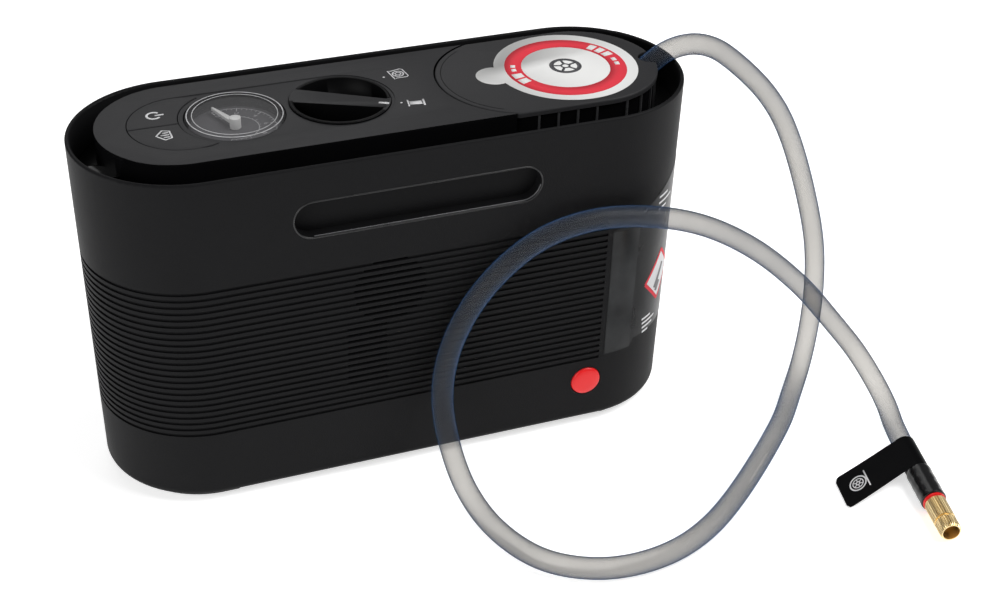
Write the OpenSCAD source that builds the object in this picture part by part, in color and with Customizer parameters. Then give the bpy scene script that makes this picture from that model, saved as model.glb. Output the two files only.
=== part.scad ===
// Portable tyre inflator with a lift-out sealant cartridge and its hose.
// Origin: centre of the base on the floor. +X right, front face at -Y, +Z up. Millimetres.

/* [Housing] */
// Distance between the centres of the two round ends
straight = 184; // [170:0.2:222]
// Radius of the round ends at the rim
end_r = 48; // [46:0.5:56]
// Height of the rim above the floor
rim_h = 168; // [160:0.2:202]
// How far the side leans in between the rim and the floor
draft = 2.4; // [0:0.1:4]
// Thickness of the outer wall
shell_wall = 2; // [1.6:0.1:2.6]
// Height of the rubber feet below the base plate
foot_h = 4; // [3:0.5:6]
// Thickness of the base plate
base_t = 3; // [2:0.5:5]

/* [Ribs, vents and grips] */
// Number of grooves round the housing
groove_count = 24; // [12:1:28]
// Distance from one groove to the next
groove_pitch = 3.28; // [3:0.02:3.6]
// Width of a groove
groove_w = 1.5; // [1:0.1:1.8]
// Depth of a groove
groove_d = 0.9; // [0.5:0.1:1.2]
// Distance from the rim down to the top groove
groove_drop = 53.2; // [45:0.2:60]
// Radius of the round vent field
vent_r = 16.8; // [10:0.2:20]
// Height of a finger grip
grip_h = 17.5; // [14:0.5:18]
// Length of a finger grip
grip_len = 112; // [80:1:130]
// Depth of a finger grip
grip_depth = 6.5; // [3:0.5:7]

/* [Deck and channel] */
// Radius of the deck's round ends
deck_r = 35.7; // [35.7:0.1:37]
// How far the deck stands above the rim
deck_rise = 3; // [1:0.5:5]
// Depth of the hose channel below the rim
channel_d = 16.5; // [15:0.5:17]
// Thickness of the deck plate
deck_t = 2.5; // [2:0.1:3]

/* [Gauge, buttons and selector] */
// Radius of the gauge's lens
lens_r = 21.7; // [18:0.1:22]
// Number of scale degrees from zero to full
gauge_sweep = 225; // [180:5:270]
// Radius of the round outline of the two buttons
button_r = 23.6; // [22:0.1:25]
// Travel of a button
button_travel = 0.8; // [0.4:0.1:0.8]
// Radius of the selector knob
knob_r = 22.2; // [18:0.02:27]
// Angle between the selector's two positions
knob_turn = 55; // [40:1:70]

/* [Compressor] */
// Radius of the motor can
motor_r = 18; // [15:0.5:18]
// Teeth on the motor pinion
pinion_teeth = 12; // [10:1:14]
// Teeth on the crank gear
gear_teeth = 40; // [36:2:42]
// Radius of the cylinder's bore
bore_r = 12; // [9:0.5:12]
// Distance of the crank pin from the crank's axis
crank_throw = 8; // [5:0.5:8]
// Distance between the eyes of the connecting rod
rod_len = 36; // [34:1:40]

/* [Cartridge] */
// Length of the straight part of the bottle's oval section
bottle_flat = 31; // [20:1:34]
// Radius of the bottle's round sides
bottle_r = 33.4; // [27.8:0.02:33.6]
// Wall of the bottle
bottle_wall = 1.6; // [1.2:0.1:2.5]
// Diameter of the hose
hose_d = 10; // [8:0.5:10]
// Diameter of the valve coupling
coupling_d = 10.2; // [9:0.1:12]
// Travel of the release button
release_travel = 2; // [1:0.5:2]

/* [Fits] */
// Clearance between moulded pieces that only pass each other
gap = 0.3; // [0.2:0.05:0.5]
// Radial clearance of a running fit
run = 0.05; // [0.02:0.01:0.1]

/* [Hidden] */
$fn = 96;
eps = 0.01;
half = straight / 2;
shell_low = foot_h - 0.5;
base_top = foot_h + base_t;
deck_top = rim_h + deck_rise;
deck_under = deck_top - deck_t;
tray_top = rim_h - channel_d;
tray_t = 2;
rim_round = shell_wall / 2;
low_round = 4;
foot_reach = [-half + 7, half + 4];
groove_end = half - 2;
vent_rows_round = 10;
vent_rows_low = 10;
vent_x = -13.4;
vent_low_x = [-33.5, -15];
vent_h = 1.1;
grip_z = rim_h - 25.9;
skirt_wall = 2.2;
gauge_x = -half + lens_r + 2.3;
button_x = -half + 1.6;
knob_x = gauge_x + lens_r + knob_r + 2.9;
collar_wall = 1.6;
dial_top = deck_top - 6.1;
dial_t = 0.8;
lens_top = deck_top + 0.6;
hub_r = 2.45;
hub_h = 5.1;
needle_len = 17;
needle_zero = gauge_sweep / 2;
staff_r = 0.8;
knob_top = deck_top + 0.2;
knob_depth = 8;
knob_floor_t = 3;
knob_low = knob_top - knob_depth - knob_floor_t;
knob_ring = 1.7;
spool_r = 4;
board_z = deck_top - 14;
board_t = 1.6;
switch_h = 3.5;
stem_h = 1.2;
plunger_low = board_z + board_t + switch_h + stem_h + button_travel + 0.1;
motor_z = base_top + 25;
gear_module = 1;
crank_z = motor_z + gear_module * (pinion_teeth + gear_teeth) / 2;
plate_x = -51.5;
plate_t = 3;
gear_x = -44;
gear_w = 5;
cyl_x = -35;
piston_h = 10;
wrist_z = crank_z - crank_throw + rod_len;
crown_z = wrist_z + 6;
cyl_low = wrist_z - 2;
cyl_top = crown_z + 2 * crank_throw + 1;
cyl_half = bore_r + 3;
head_h = 10;
head_spots = [for (sx = [-1, 1], sy = [-1, 1]) [cyl_x + sx * (cyl_half - 3.1), sy * (cyl_half - 3.1)]];
motor_back = -113;
cart_x = half - bottle_flat / 2;
well_r = bottle_r + 0.7;
well_wall = 1.6;
well_floor = base_top + 13;
floor_t = 2;
bottle_low = well_floor + floor_t + 0.6;
bottle_top = rim_h - 26;
neck_r = 14;
neck_h = 7;
cap_left_r = 38;
cap_left_x = cart_x - 14;
cap_groove = 0.6;
cap_wall = 2;
cap_lip = 1.2;
fin_pitch = 9.2;
cap_low = tray_top + gap;
port_r = 7;
port_low = base_top + 5;
release_x = cart_x + 7.5;
release_z = 26.5;
release_r = 7.4;
latch_z = well_floor - 4;
latch_t = 2;
latch_front = well_r + well_wall + release_travel + 1.7;
hose_r = hose_d / 2;
wrap_len = 25;
sleeve_r = 6;
sleeve_len = 20.5;
washer_t = 1.5;
coupling_len = 20.5;
coupling_floor = 6;
valve_r = 3.85;
hose_heading = -102;
wrap_start = [220, -117.4, 6.1];
hose_start = [half + 20, -2, rim_h - 14.5];
hose_exit = [10, 0, 9.9] / norm([10, 0, 9.9]);
post_r = 3.6;
screw_r = 1.5;

lamp_x = -half + 34;
lamp_z = rim_h - 44;
lamp_r = 5;
lamp_flat = 8;
grommet_x = -half + 30;
grommet_z = 24;
grommet_r = 5;

screw_spots = [[-half - 6, 33], [-half - 6, -33], [10, 34.5], [10, -34.5]];

// Hose centreline, chosen by hand: out of the cap, over the rim, down to the floor, round in
// front, up along the front face in an arch and down again to the coupling.
hose_route = [
  hose_start, [122, -2, 163.4], [128, -2, 168.3], [134, -2, 172], [141, -2, 174],
  [149, -2, 174], [157, -2, 171.6], [166, -2, 166], [190, -3, 142.5], [204, -5.5, 119],
  [218.5, -16, 68], [218.5, -24, 45], [213, -34, 26.5], [203, -47, 13], [190, -62, 6.2],
  [170, -85, 5.1], [108, -138, 5.1], [78, -150, 5.1], [50, -149, 5.1], [28, -136, 5.1],
  [15, -112, 5.6], [9, -88, 11], [7, -69, 24], [7, -58, 42], [11, -54, 63], [21, -53.4, 86],
  [37, -53.4, 105], [56, -53.4, 117], [80, -53.4, 121.5], [107, -53.4, 118], [134, -53.4, 108.5],
  [163, -53.4, 90], [191, -54.5, 64], [210, -59, 41], [221, -66.5, 26], [226.5, -78, 14.5],
  [226.8, -90, 8.8], [223.8, -102.5, 6.3], wrap_start,
  wrap_start + (wrap_len - 2) * [cos(hose_heading), sin(hose_heading), 0]
];
gland_len = 8;

// ---- helpers ----

// Radius of the housing's round ends at height z
function side_r(z) = end_r - draft * (rim_h - z) / rim_h;

// Height of groove i, counted down from the top one
function groove_z(i) = rim_h - groove_drop - groove_pitch * i;

// Outline with two round ends of radius r, from x0 to x1 between their centres
module stadium(r, x0 = -half, x1 = half) {
  translate([x0, -r]) square([x1 - x0, 2 * r]);
  for (x = [x0, x1])
    translate([x, 0]) circle(r);
}

// Sweeps a half section, x outwards and y up, once round the housing
module round_sweep() {
  for (s = [-1, 1])
    translate([s * half, 0, 0])
      rotate([0, 0, -90 * s]) rotate_extrude(angle = 180) children();
  for (m = [0, 1])
    mirror([0, m, 0])
      translate([-half, 0, 0]) rotate([90, 0, 90]) linear_extrude(straight) children();
}

// Round bar between two points
module bar(a, b, r) {
  v = b - a;
  translate(a) rotate([0, acos(v[2] / norm(v)), atan2(v[1], v[0])]) cylinder(h = norm(v), r = r);
}

// Pipe along corner points, with a round fitting at each corner
module pipe(points, r) {
  for (i = [0 : len(points) - 2])
    bar(points[i], points[i + 1], r);
  for (i = [1 : len(points) - 2])
    translate(points[i]) sphere(r * 1.35);
}

// Cylinder along X, starting at x
module x_rod(x, y, z, length, r) {
  translate([x, y, z]) rotate([0, 90, 0]) cylinder(h = length, r = r);
}

// Spur gear along X with straight-sided teeth that leave backlash
module spur(x, z, teeth, width, turn) {
  pitch_r = gear_module * teeth / 2;
  root_r = pitch_r - 1.2 * gear_module;
  tip_r = pitch_r + 0.85 * gear_module;
  root_half = 0.95 * gear_module;
  tip_half = 0.32 * gear_module;
  translate([x, 0, z]) rotate([90, 0, 90])
    linear_extrude(width) {
      circle(root_r);
      for (i = [0 : teeth - 1])
        rotate(turn + i * 360 / teeth)
          polygon([[root_r - 0.5, -root_half], [tip_r, -tip_half], [tip_r, tip_half],
            [root_r - 0.5, root_half]]);
    }
}

// Point on a smooth curve through p1 and p2, at t from 0 to 1 (centripetal Catmull-Rom)
function lerp(a, b, ta, tb, t) = a * (tb - t) / (tb - ta) + b * (t - ta) / (tb - ta);
function knot(a, b) = sqrt(norm(b - a));
function curve_at(p0, p1, p2, p3, t) =
  let (t1 = knot(p0, p1), t2 = t1 + knot(p1, p2), t3 = t2 + knot(p2, p3), u = t1 + t * (t2 - t1))
  let (a1 = lerp(p0, p1, 0, t1, u), a2 = lerp(p1, p2, t1, t2, u), a3 = lerp(p2, p3, t2, t3, u))
  let (b1 = lerp(a1, a2, 0, t2, u), b2 = lerp(a2, a3, t1, t3, u))
  lerp(b1, b2, t1, t2, u);

// Route point i, carried straight on past both ends
function route_point(p, i) =
  i < 0 ? 2 * p[0] - p[1] :
  i >= len(p) ? 2 * p[len(p) - 1] - p[len(p) - 2] :
  p[i];

function unit(v) = v / norm(v);

// Side direction carried along a curve without twist
function carried(tangents, i = 0, side = [0, 1, 0], out = []) =
  i == len(tangents) ? out :
  let (s = unit(side - (side * tangents[i]) * tangents[i]))
  carried(tangents, i + 1, s, concat(out, [s]));

// Tube of radius r along the route, with a ring at each point and some halfway
module tube(p, r, sides = 8) {
  line = [
    for (i = [0 : len(p) - 2])
      for (t = (norm(p[i + 1] - p[i]) > 12 ? [0, 0.5] : [0]))
        curve_at(route_point(p, i - 1), p[i], p[i + 1], route_point(p, i + 2), t),
    p[len(p) - 1]
  ];
  n = len(line);
  tangents = [
    for (i = [0 : n - 1])
      unit(line[min(i + 1, n - 1)] - line[max(i - 1, 0)])
  ];
  across = carried(tangents);
  points = [
    for (i = [0 : n - 1])
      for (k = [0 : sides - 1])
        let (a = 360 * k / sides)
        line[i] + r * (cos(a) * across[i] + sin(a) * cross(tangents[i], across[i]))
  ];
  faces = concat(
    [[for (k = [0 : sides - 1]) k]],
    [for (i = [0 : n - 2], k = [0 : sides - 1])
      let (a = i * sides + k, b = i * sides + (k + 1) % sides)
      [a, a + sides, b + sides, b]],
    [[for (k = [sides - 1 : -1 : 0]) (n - 1) * sides + k]]
  );
  polyhedron(points = points, faces = faces);
}

// Puts a piece that is drawn along +Z onto the straight end of the hose, s along it
module at_hose_end(s) {
  translate(wrap_start) rotate([0, 0, hose_heading]) rotate([0, 90, 0]) translate([0, 0, s]) children();
}

// ---- housing ----

// Solid section of the housing, rounded at the bottom and at the rim
module side_section() {
  low = shell_low + low_round;
  top = rim_h - rim_round;
  polygon([[0, shell_low], [side_r(low) - low_round, shell_low], [side_r(low) - low_round, low],
    [side_r(low), low], [side_r(top), top], [side_r(top) - rim_round, top],
    [side_r(top) - rim_round, rim_h], [0, rim_h]]);
  translate([side_r(low) - low_round, low]) circle(low_round);
  translate([side_r(top) - rim_round, top]) circle(rim_round);
}

// Section of the space inside the housing
module inside_section() {
  top = rim_h - rim_round;
  polygon([[-1, shell_low - 1], [side_r(shell_low) - shell_wall, shell_low - 1],
    [side_r(top) - shell_wall, top], [-1, top]]);
}

module wall_section() {
  top = rim_h - rim_round;
  difference() {
    side_section();
    inside_section();
    translate([-1, top]) square([side_r(top) - rim_round + 1, rim_round + 1]);
  }
  translate([side_r(top) - rim_round, top]) circle(rim_round);
}

module grip_outline(grow = 0) {
  stadium(grip_h / 2 + grow, -(grip_len - grip_h) / 2, (grip_len - grip_h) / 2);
}

module groove(i) {
  z = groove_z(i);
  translate([0, 0, z - groove_w / 2])
    linear_extrude(groove_w)
      difference() {
        stadium(end_r + 2);
        stadium(side_r(z) - groove_d);
        translate([groove_end, -end_r - 5]) square([end_r + 10, 2 * end_r + 10]);
      }
}

// Slots through both long sides: a round field above a narrow field
module vents() {
  mid = (vent_rows_round - 1) / 2;
  for (i = [0 : vent_rows_round - 1]) {
    w = sqrt(pow(vent_r, 2) - pow((i - mid) * groove_pitch, 2));
    translate([vent_x - w, -end_r - 2, groove_z(i) - vent_h / 2])
      cube([2 * w, 2 * end_r + 4, vent_h]);
  }
  for (i = [vent_rows_round : vent_rows_round + vent_rows_low - 1])
    translate([vent_low_x[0], -end_r - 2, groove_z(i) - vent_h / 2])
      cube([vent_low_x[1] - vent_low_x[0], 2 * end_r + 4, vent_h]);
}

module outer_shell() {
  grip_face = side_r(grip_z) - grip_depth;
  color([0.13, 0.13, 0.135])
    difference() {
      union() {
        round_sweep() wall_section();
        for (m = [0, 1])
          mirror([0, m, 0])
            translate([0, -grip_face, grip_z]) rotate([90, 0, 0])
              translate([0, 0, -shell_wall])
                linear_extrude(grip_depth + shell_wall - 0.5) grip_outline(shell_wall);
      }
      for (i = [0 : groove_count - 1])
        groove(i);
      vents();
      for (m = [0, 1])
        mirror([0, m, 0])
          translate([0, -grip_face, grip_z]) rotate([90, 0, 0])
            linear_extrude(grip_depth + 5) grip_outline();
      translate([release_x, -end_r, release_z]) rotate([-90, 0, 0])
        cylinder(h = 10, r = release_r + gap);
      translate([lamp_x, end_r, lamp_z]) rotate([90, 0, 0])
        linear_extrude(8) stadium(lamp_r, -lamp_flat, lamp_flat);
      translate([grommet_x, end_r, grommet_z]) rotate([90, 0, 0])
        cylinder(h = 8, r = grommet_r);
    }
}

module base_plate() {
  r = side_r(foot_h) - shell_wall - gap;
  color([0.1, 0.1, 0.1])
    difference() {
      union() {
        translate([0, 0, foot_h]) linear_extrude(base_t) stadium(r);
        for (x = [motor_back + 12, plate_x - 18])
          translate([x, -12, base_top - eps]) cube([4, 24, 9 + eps]);
      }
      x_rod(motor_back - 5, 0, motor_z, 80, motor_r + gap);
      for (p = screw_spots)
        translate([p[0], p[1], foot_h - 1]) {
          cylinder(h = base_t + 2, r = screw_r + gap);
          cylinder(h = 2.5, r = 3.2);
        }
    }
}

module feet() {
  color([0.07, 0.07, 0.07])
    for (s = [-1, 1])
      linear_extrude(foot_h)
        difference() {
          stadium(39.5);
          translate([s > 0 ? foot_reach[1] - 300 : foot_reach[0], -60]) square([300, 120]);
          for (p = screw_spots)
            translate(p) circle(4);
        }
}

module inner_frame() {
  low = tray_top - tray_t;
  hatch_r = deck_r - skirt_wall - gap - 1.6;
  well_left = cart_x - bottle_flat / 2 - well_r - well_wall;
  pocket = side_r(grip_z) - grip_depth - shell_wall - gap;
  color([0.06, 0.06, 0.06])
    difference() {
      union() {
        translate([0, 0, low])
          linear_extrude(tray_t) stadium(side_r(low) - shell_wall - gap);
        translate([0, 0, well_floor])
          linear_extrude(tray_top - well_floor) stadium(well_r + well_wall, cart_x - bottle_flat / 2, half);
        translate([0, 0, low]) linear_extrude(tray_t + 3) stadium(deck_r - skirt_wall - gap);
        for (p = screw_spots)
          translate([p[0], p[1], base_top]) cylinder(h = low - base_top + 1, r = post_r);
        translate([cart_x - 7, 26, latch_z - 5]) cube([14, 2, well_floor - latch_z + 5 + eps]);
      }
      translate([0, 0, low - 1])
        linear_extrude(tray_t + 5) stadium(hatch_r, -half, well_left - 2 - hatch_r);
      translate([0, 0, well_floor + floor_t])
        linear_extrude(rim_h) stadium(well_r, cart_x - bottle_flat / 2, half);
      translate([0, 0, tray_top]) linear_extrude(10)
        cap_outline(cap_groove + 1.6 + gap);
      translate([cart_x, 0, well_floor - 1]) cylinder(h = floor_t + 2, r = port_r + 0.8);
      for (m = [0, 1])
        mirror([0, m, 0])
          translate([-grip_len / 2 - shell_wall - gap, pocket, low - 1])
            cube([grip_len + 2 * (shell_wall + gap), 20, tray_t + 5]);
      for (p = screw_spots)
        translate([p[0], p[1], base_top - 1]) cylinder(h = 14, r = screw_r - 0.1);
    }
}

// ---- deck ----

// Outline of the cartridge's cap, grown by g
module cap_outline(g = 0) {
  intersection() {
    stadium(deck_r + g);
    union() {
      translate([cap_left_x, 0]) circle(cap_left_r + g);
      translate([cap_left_x, -60]) square([200, 120]);
    }
  }
}

// Crescent that both buttons fill, left of the gauge
module crescent(g = 0, g_in = 0) {
  difference() {
    translate([button_x, 0]) circle(button_r + g);
    translate([gauge_x, 0]) circle(lens_r + 2.7 - g_in);
  }
}

module top_deck() {
  well_r2 = knob_r + gap;
  collar_r = lens_r + gap;
  color([0.24, 0.24, 0.245])
    difference() {
      union() {
        difference() {
          translate([0, 0, tray_top]) linear_extrude(deck_top - tray_top) stadium(deck_r);
          translate([0, 0, tray_top - 1])
            linear_extrude(deck_under - tray_top + 1) stadium(deck_r - skirt_wall);
        }
        translate([knob_x, 0, knob_low - 0.3 - 2])
          cylinder(h = deck_under - knob_low + 2.3 + eps, r = well_r2 + collar_wall);
        translate([gauge_x, 0, dial_top - 4])
          cylinder(h = deck_under - dial_top + 4 + eps, r = collar_r + collar_wall);
        for (s = [-1, 1])
          translate([-half - 31.5, s * 14.5 - 1.5, board_z - 2]) cube([36, 3, 2]);
        translate([0, 0, tray_top])
          linear_extrude(deck_under - tray_top + eps)
            intersection() {
              stadium(deck_r - 1);
              cap_outline(cap_groove + 1.6);
            }
        translate([-half - 42, -20, tray_top + 8]) cube([12, 12, 2]);
      }
      translate([0, 0, tray_top - 1]) linear_extrude(40) cap_outline(cap_groove);
      translate([0, 0, deck_top - 0.4])
        linear_extrude(1) stadium(button_r + 0.4, button_x, knob_x);
      translate([0, 0, deck_under - 1]) linear_extrude(deck_t + 2) crescent(gap, gap);
      translate([gauge_x, 0, dial_top - 5]) cylinder(h = 20, r = collar_r);
      translate([knob_x, 0, knob_low - 0.3]) cylinder(h = 20, r = well_r2);
      translate([knob_x, 0, knob_low - 5]) cylinder(h = 10, r = spool_r + gap);
      difference() {
        translate([-half - 60, -30, tray_top + 7]) cube([40, 40, 4]);
        translate([0, 0, tray_top]) linear_extrude(20) stadium(side_r(tray_top) - shell_wall - gap);
      }
    }
}

module side_label() {
  z0 = 40;
  z1 = rim_h - 51;
  t = 0.3;
  color([0.2, 0.2, 0.2])
    translate([half, 0, 0]) rotate([0, 0, -90])
      rotate_extrude(angle = 180)
        polygon([[side_r(z0), z0], [side_r(z0) + t, z0], [side_r(z1) + t, z1], [side_r(z1), z1]]);
}

module base_screws() {
  color([0.6, 0.6, 0.6])
    for (p = screw_spots)
      translate([p[0], p[1], foot_h - 0.5]) {
        cylinder(h = 2, r = 3);
        cylinder(h = 14, r = screw_r - 0.1);
      }
}

module lead_grommet() {
  color([0.05, 0.05, 0.05])
    translate([grommet_x, side_r(grommet_z) + 1.2, grommet_z]) rotate([90, 0, 0])
      difference() {
        union() {
          cylinder(h = 6, r = grommet_r - 0.1);
          cylinder(h = 1, r = grommet_r + 1.4);
          translate([0, 0, 4.3]) cylinder(h = 1.2, r = grommet_r + 1.2);
        }
        translate([0, 0, -1]) cylinder(h = 8, r = 2.6);
      }
}

module lamp_lens() {
  color([0.9, 0.92, 0.95])
    translate([lamp_x, side_r(lamp_z) + 0.2, lamp_z]) rotate([90, 0, 0])
      difference() {
        union() {
          linear_extrude(3.6) stadium(lamp_r - 0.15, -lamp_flat, lamp_flat);
          translate([0, 0, 2.5]) linear_extrude(1.1) stadium(lamp_r + 1.2, -lamp_flat, lamp_flat);
        }
        translate([0, 0, 1.2]) linear_extrude(4) stadium(lamp_r - 1.6, -lamp_flat, lamp_flat);
      }
}

module lamp_board() {
  color([0.1, 0.35, 0.15])
    translate([lamp_x, side_r(lamp_z) - 3.4, lamp_z])
      rotate([90, 0, 0]) {
        linear_extrude(1.4) square([24, 9], center = true);
        for (x = [-6, 0, 6])
          translate([x, 0, -1.2]) cylinder(h = 1.2, r = 2);
      }
}

// ---- gauge ----

module gauge_body() {
  r = lens_r - 0.2;
  color([0.12, 0.12, 0.12])
    translate([gauge_x, 0, 0])
      difference() {
        union() {
          translate([0, 0, dial_top - 14]) cylinder(h = 14, r = r);
          translate([0, 0, dial_top - 6]) cylinder(h = 2, r = r + 1);
          translate([0, 0, dial_top - 22]) cylinder(h = 9, r = 4);
        }
        translate([0, 0, dial_top - 12]) cylinder(h = 13, r = r - 2.6);
        translate([0, 0, dial_top - dial_t]) cylinder(h = 2, r = r - 1.4);
        translate([0, 0, dial_top - 23]) cylinder(h = 12, r = 1.2);
      }
}

module gauge_dial() {
  color([0.5, 0.5, 0.52])
    translate([gauge_x, 0, dial_top - dial_t])
      difference() {
        cylinder(h = dial_t, r = lens_r - 1.7);
        translate([0, 0, -1]) cylinder(h = 3, r = staff_r + run);
      }
}

module gauge_lens() {
  color([0.8, 0.85, 0.88, 0.4])
    translate([gauge_x, 0, dial_top])
      difference() {
        cylinder(h = lens_top - dial_top, r = lens_r);
        translate([0, 0, -1]) cylinder(h = lens_top - dial_top - 1.2 + 1, r = lens_r - 1.5);
      }
}

module bourdon_tube() {
  color([0.72, 0.53, 0.2])
    translate([gauge_x, 0, dial_top - 8]) {
      rotate_extrude(angle = 270) translate([13, 0]) square([1.6, 4], center = true);
      translate([9, -1.5, -4]) cube([5, 3, 6]);
    }
}

module gauge_needle() {
  color([0.95, 0.95, 0.95])
    translate([gauge_x, 0, dial_top + 0.15]) {
      cylinder(h = hub_h - 0.15, r = hub_r);
      rotate([0, 0, needle_zero])
        translate([0, 0, 1.6])
          linear_extrude(1.4) polygon([[0, -1.6], [needle_len, -0.5], [needle_len, 0.5], [0, 1.6]]);
    }
}

module needle_staff() {
  color([0.7, 0.7, 0.7])
    translate([gauge_x, 0, dial_top - 6]) {
      cylinder(h = 6.15, r = staff_r);
      cylinder(h = 1.5, r = 2.2);
    }
}

// ---- buttons ----

module button(upper) {
  side = upper ? 1 : -1;
  intersection() {
    union() {
      translate([0, 0, deck_under - 0.3]) linear_extrude(deck_t + 0.3) crescent();
      translate([0, 0, deck_under - 1.7]) linear_extrude(1.4) crescent(1, 0);
      translate([button_x - 11, side * 8, plunger_low]) cylinder(h = deck_under - plunger_low, r = 2.6);
    }
    translate([button_x - 40, upper ? gap : -40 - gap, plunger_low]) cube([80, 40, 30]);
  }
}

module power_button() {
  color([0.3, 0.3, 0.305]) button(true);
}

module light_button() {
  color([0.3, 0.3, 0.305]) button(false);
}

module switch_board() {
  color([0.1, 0.35, 0.15])
    translate([button_x - 25, -16, board_z]) cube([21, 32, board_t]);
}

module tact_switches() {
  color([0.2, 0.2, 0.2])
    for (s = [-1, 1])
      translate([button_x - 11, s * 8, board_z + board_t]) {
        translate([-3, -3, 0]) cube([6, 6, switch_h]);
        cylinder(h = switch_h + stem_h, r = 1.7);
      }
}

// ---- selector ----

module selector_knob() {
  inner = knob_r - knob_ring;
  floor_top = knob_low + knob_floor_t;
  color([0.2, 0.2, 0.205])
    translate([knob_x, 0, 0])
      difference() {
        union() {
          translate([0, 0, knob_low]) cylinder(h = knob_floor_t, r = knob_r);
          difference() {
            translate([0, 0, knob_low]) cylinder(h = knob_top - knob_low, r = knob_r);
            translate([0, 0, floor_top]) cylinder(h = knob_depth + 1, r = inner);
          }
          intersection() {
            rotate([0, 0, -knob_turn / 2])
              translate([0, 0, floor_top - eps])
                linear_extrude(knob_depth + eps)
                  polygon([[-knob_r, -6.1], [knob_r, -4], [knob_r, 4], [-knob_r, 6.1]]);
            translate([0, 0, knob_low]) cylinder(h = 20, r = inner + 0.5);
          }
        }
        translate([0, 0, knob_low - 1]) cylinder(h = 3.5, r = spool_r);
      }
}

module selector_spool() {
  color([0.75, 0.75, 0.72])
    translate([knob_x, 0, knob_low - 20])
      difference() {
        cylinder(h = 22.5, r = spool_r);
        translate([-10, 0, 7]) rotate([0, 90, 0]) cylinder(h = 20, r = 1.2);
      }
}

module valve_block() {
  top = knob_low - 2.3;
  color([0.15, 0.15, 0.16])
    difference() {
      translate([knob_x - 11, -10, top - 20]) cube([22, 20, 20]);
      translate([knob_x, 0, top - 18]) cylinder(h = 30, r = spool_r + run);
      x_rod(knob_x - 12, 0, top - 10.7, 24, 1.2);
    }
}

// ---- cartridge release ----

module release_button() {
  face = side_r(release_z);
  color([0.85, 0.12, 0.12])
    translate([release_x, -face, release_z]) rotate([-90, 0, 0])
      union() {
        translate([0, 0, -1.5]) cylinder(h = 5.2, r = release_r);
        translate([0, 0, shell_wall + 0.5]) cylinder(h = 1.2, r = release_r + 1.2);
        translate([0, 0, shell_wall + 1]) cylinder(h = face - latch_front - shell_wall - 1, r = 2.2);
      }
}

// Keyhole plate under the well: its slot holds the port's groove
module release_latch() {
  color([0.75, 0.75, 0.78])
    difference() {
      union() {
        translate([release_x - 4, -latch_front, latch_z]) cube([8, 1.4, release_z + 3 - latch_z]);
        translate([cart_x - 11, -latch_front, latch_z]) cube([22, latch_front + 14, latch_t]);
        translate([cart_x - 7, 12, latch_z - 5]) cube([14, 2, 5 + latch_t]);
      }
      translate([cart_x, 0, latch_z - 1]) cylinder(h = latch_t + 2, r = port_r + gap);
      translate([cart_x, -release_travel, latch_z - 1]) cylinder(h = latch_t + 2, r = port_r + gap);
    }
}

// Coil of wire along Y, pitch by turns over a length
module coil(turns, length, r, wire) {
  steps = 14;
  line = [
    for (i = [0 : turns * steps])
      [r * cos(360 * i / steps), length * i / (turns * steps), r * sin(360 * i / steps)]
  ];
  tube(line, wire / 2, 6);
}

module release_spring() {
  color([0.8, 0.8, 0.8])
    translate([cart_x, 14.4, latch_z - 1.2]) coil(5, 11.2, 3, 0.8);
}

// ---- compressor ----

module motor_can() {
  color([0.7, 0.7, 0.72])
    difference() {
      x_rod(motor_back, 0, motor_z, plate_x - plate_t / 2 - motor_back, motor_r);
      x_rod(motor_back - 1, 0, motor_z, plate_x - plate_t / 2 - motor_back - 1, motor_r - 1.5);
      x_rod(motor_back, 0, motor_z, 80, 2 + run);
    }
}

module motor_end_cap() {
  color([0.12, 0.12, 0.12])
    difference() {
      union() {
        x_rod(motor_back - 3, 0, motor_z, 3, motor_r);
        x_rod(motor_back - 4, 0, motor_z, 8, 5);
      }
      x_rod(motor_back - 5, 0, motor_z, 12, 2 + run);
    }
}

module motor_magnets() {
  color([0.25, 0.25, 0.27])
    for (s = [0, 180])
      translate([motor_back + 10, 0, motor_z]) rotate([90, 0, 90]) rotate([0, 0, s - 60])
        rotate_extrude(angle = 120) translate([motor_r - 3.3, 0]) square([1.8, 36]);
}

module motor_armature() {
  color([0.62, 0.35, 0.18])
    difference() {
      x_rod(motor_back + 10, 0, motor_z, 36, motor_r - 4);
      x_rod(motor_back, 0, motor_z, 60, 2);
      for (a = [0 : 72 : 359])
        translate([motor_back + 9, 0, motor_z]) rotate([a, 0, 0])
          translate([0, -1, motor_r - 7]) cube([38, 2, 8]);
    }
}

module motor_shaft() {
  color([0.8, 0.8, 0.82])
    x_rod(-127, 0, motor_z, 127 + gear_x + gear_w / 2 + 1, 2);
}

module motor_pinion() {
  color([0.8, 0.65, 0.3])
    difference() {
      spur(gear_x - gear_w / 2 - 0.5, motor_z, pinion_teeth, gear_w + 1, 90);
      x_rod(gear_x - 10, 0, motor_z, 20, 2);
    }
}

module cooling_fan() {
  color([0.15, 0.15, 0.15])
    difference() {
      union() {
        x_rod(-125, 0, motor_z, 6, 4.5);
        x_rod(-125, 0, motor_z, 1.2, 15);
        for (a = [0 : 45 : 359])
          translate([-125, 0, motor_z]) rotate([a, 0, 0]) translate([0, 4, -0.6]) cube([6, 11, 1.2]);
      }
      x_rod(-130, 0, motor_z, 20, 2);
    }
}

module gear_plate() {
  x0 = plate_x - plate_t / 2;
  color([0.55, 0.56, 0.58])
    difference() {
      union() {
        translate([x0, -26, base_top]) cube([plate_t, 52, cyl_top - base_top]);
        x_rod(x0 - 8, 0, crank_z, 8 + eps, 7.4);
      }
      x_rod(x0 - 20, 0, motor_z, 40, 6);
      x_rod(x0 - 20, 0, crank_z, 40, 5);
    }
}

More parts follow.
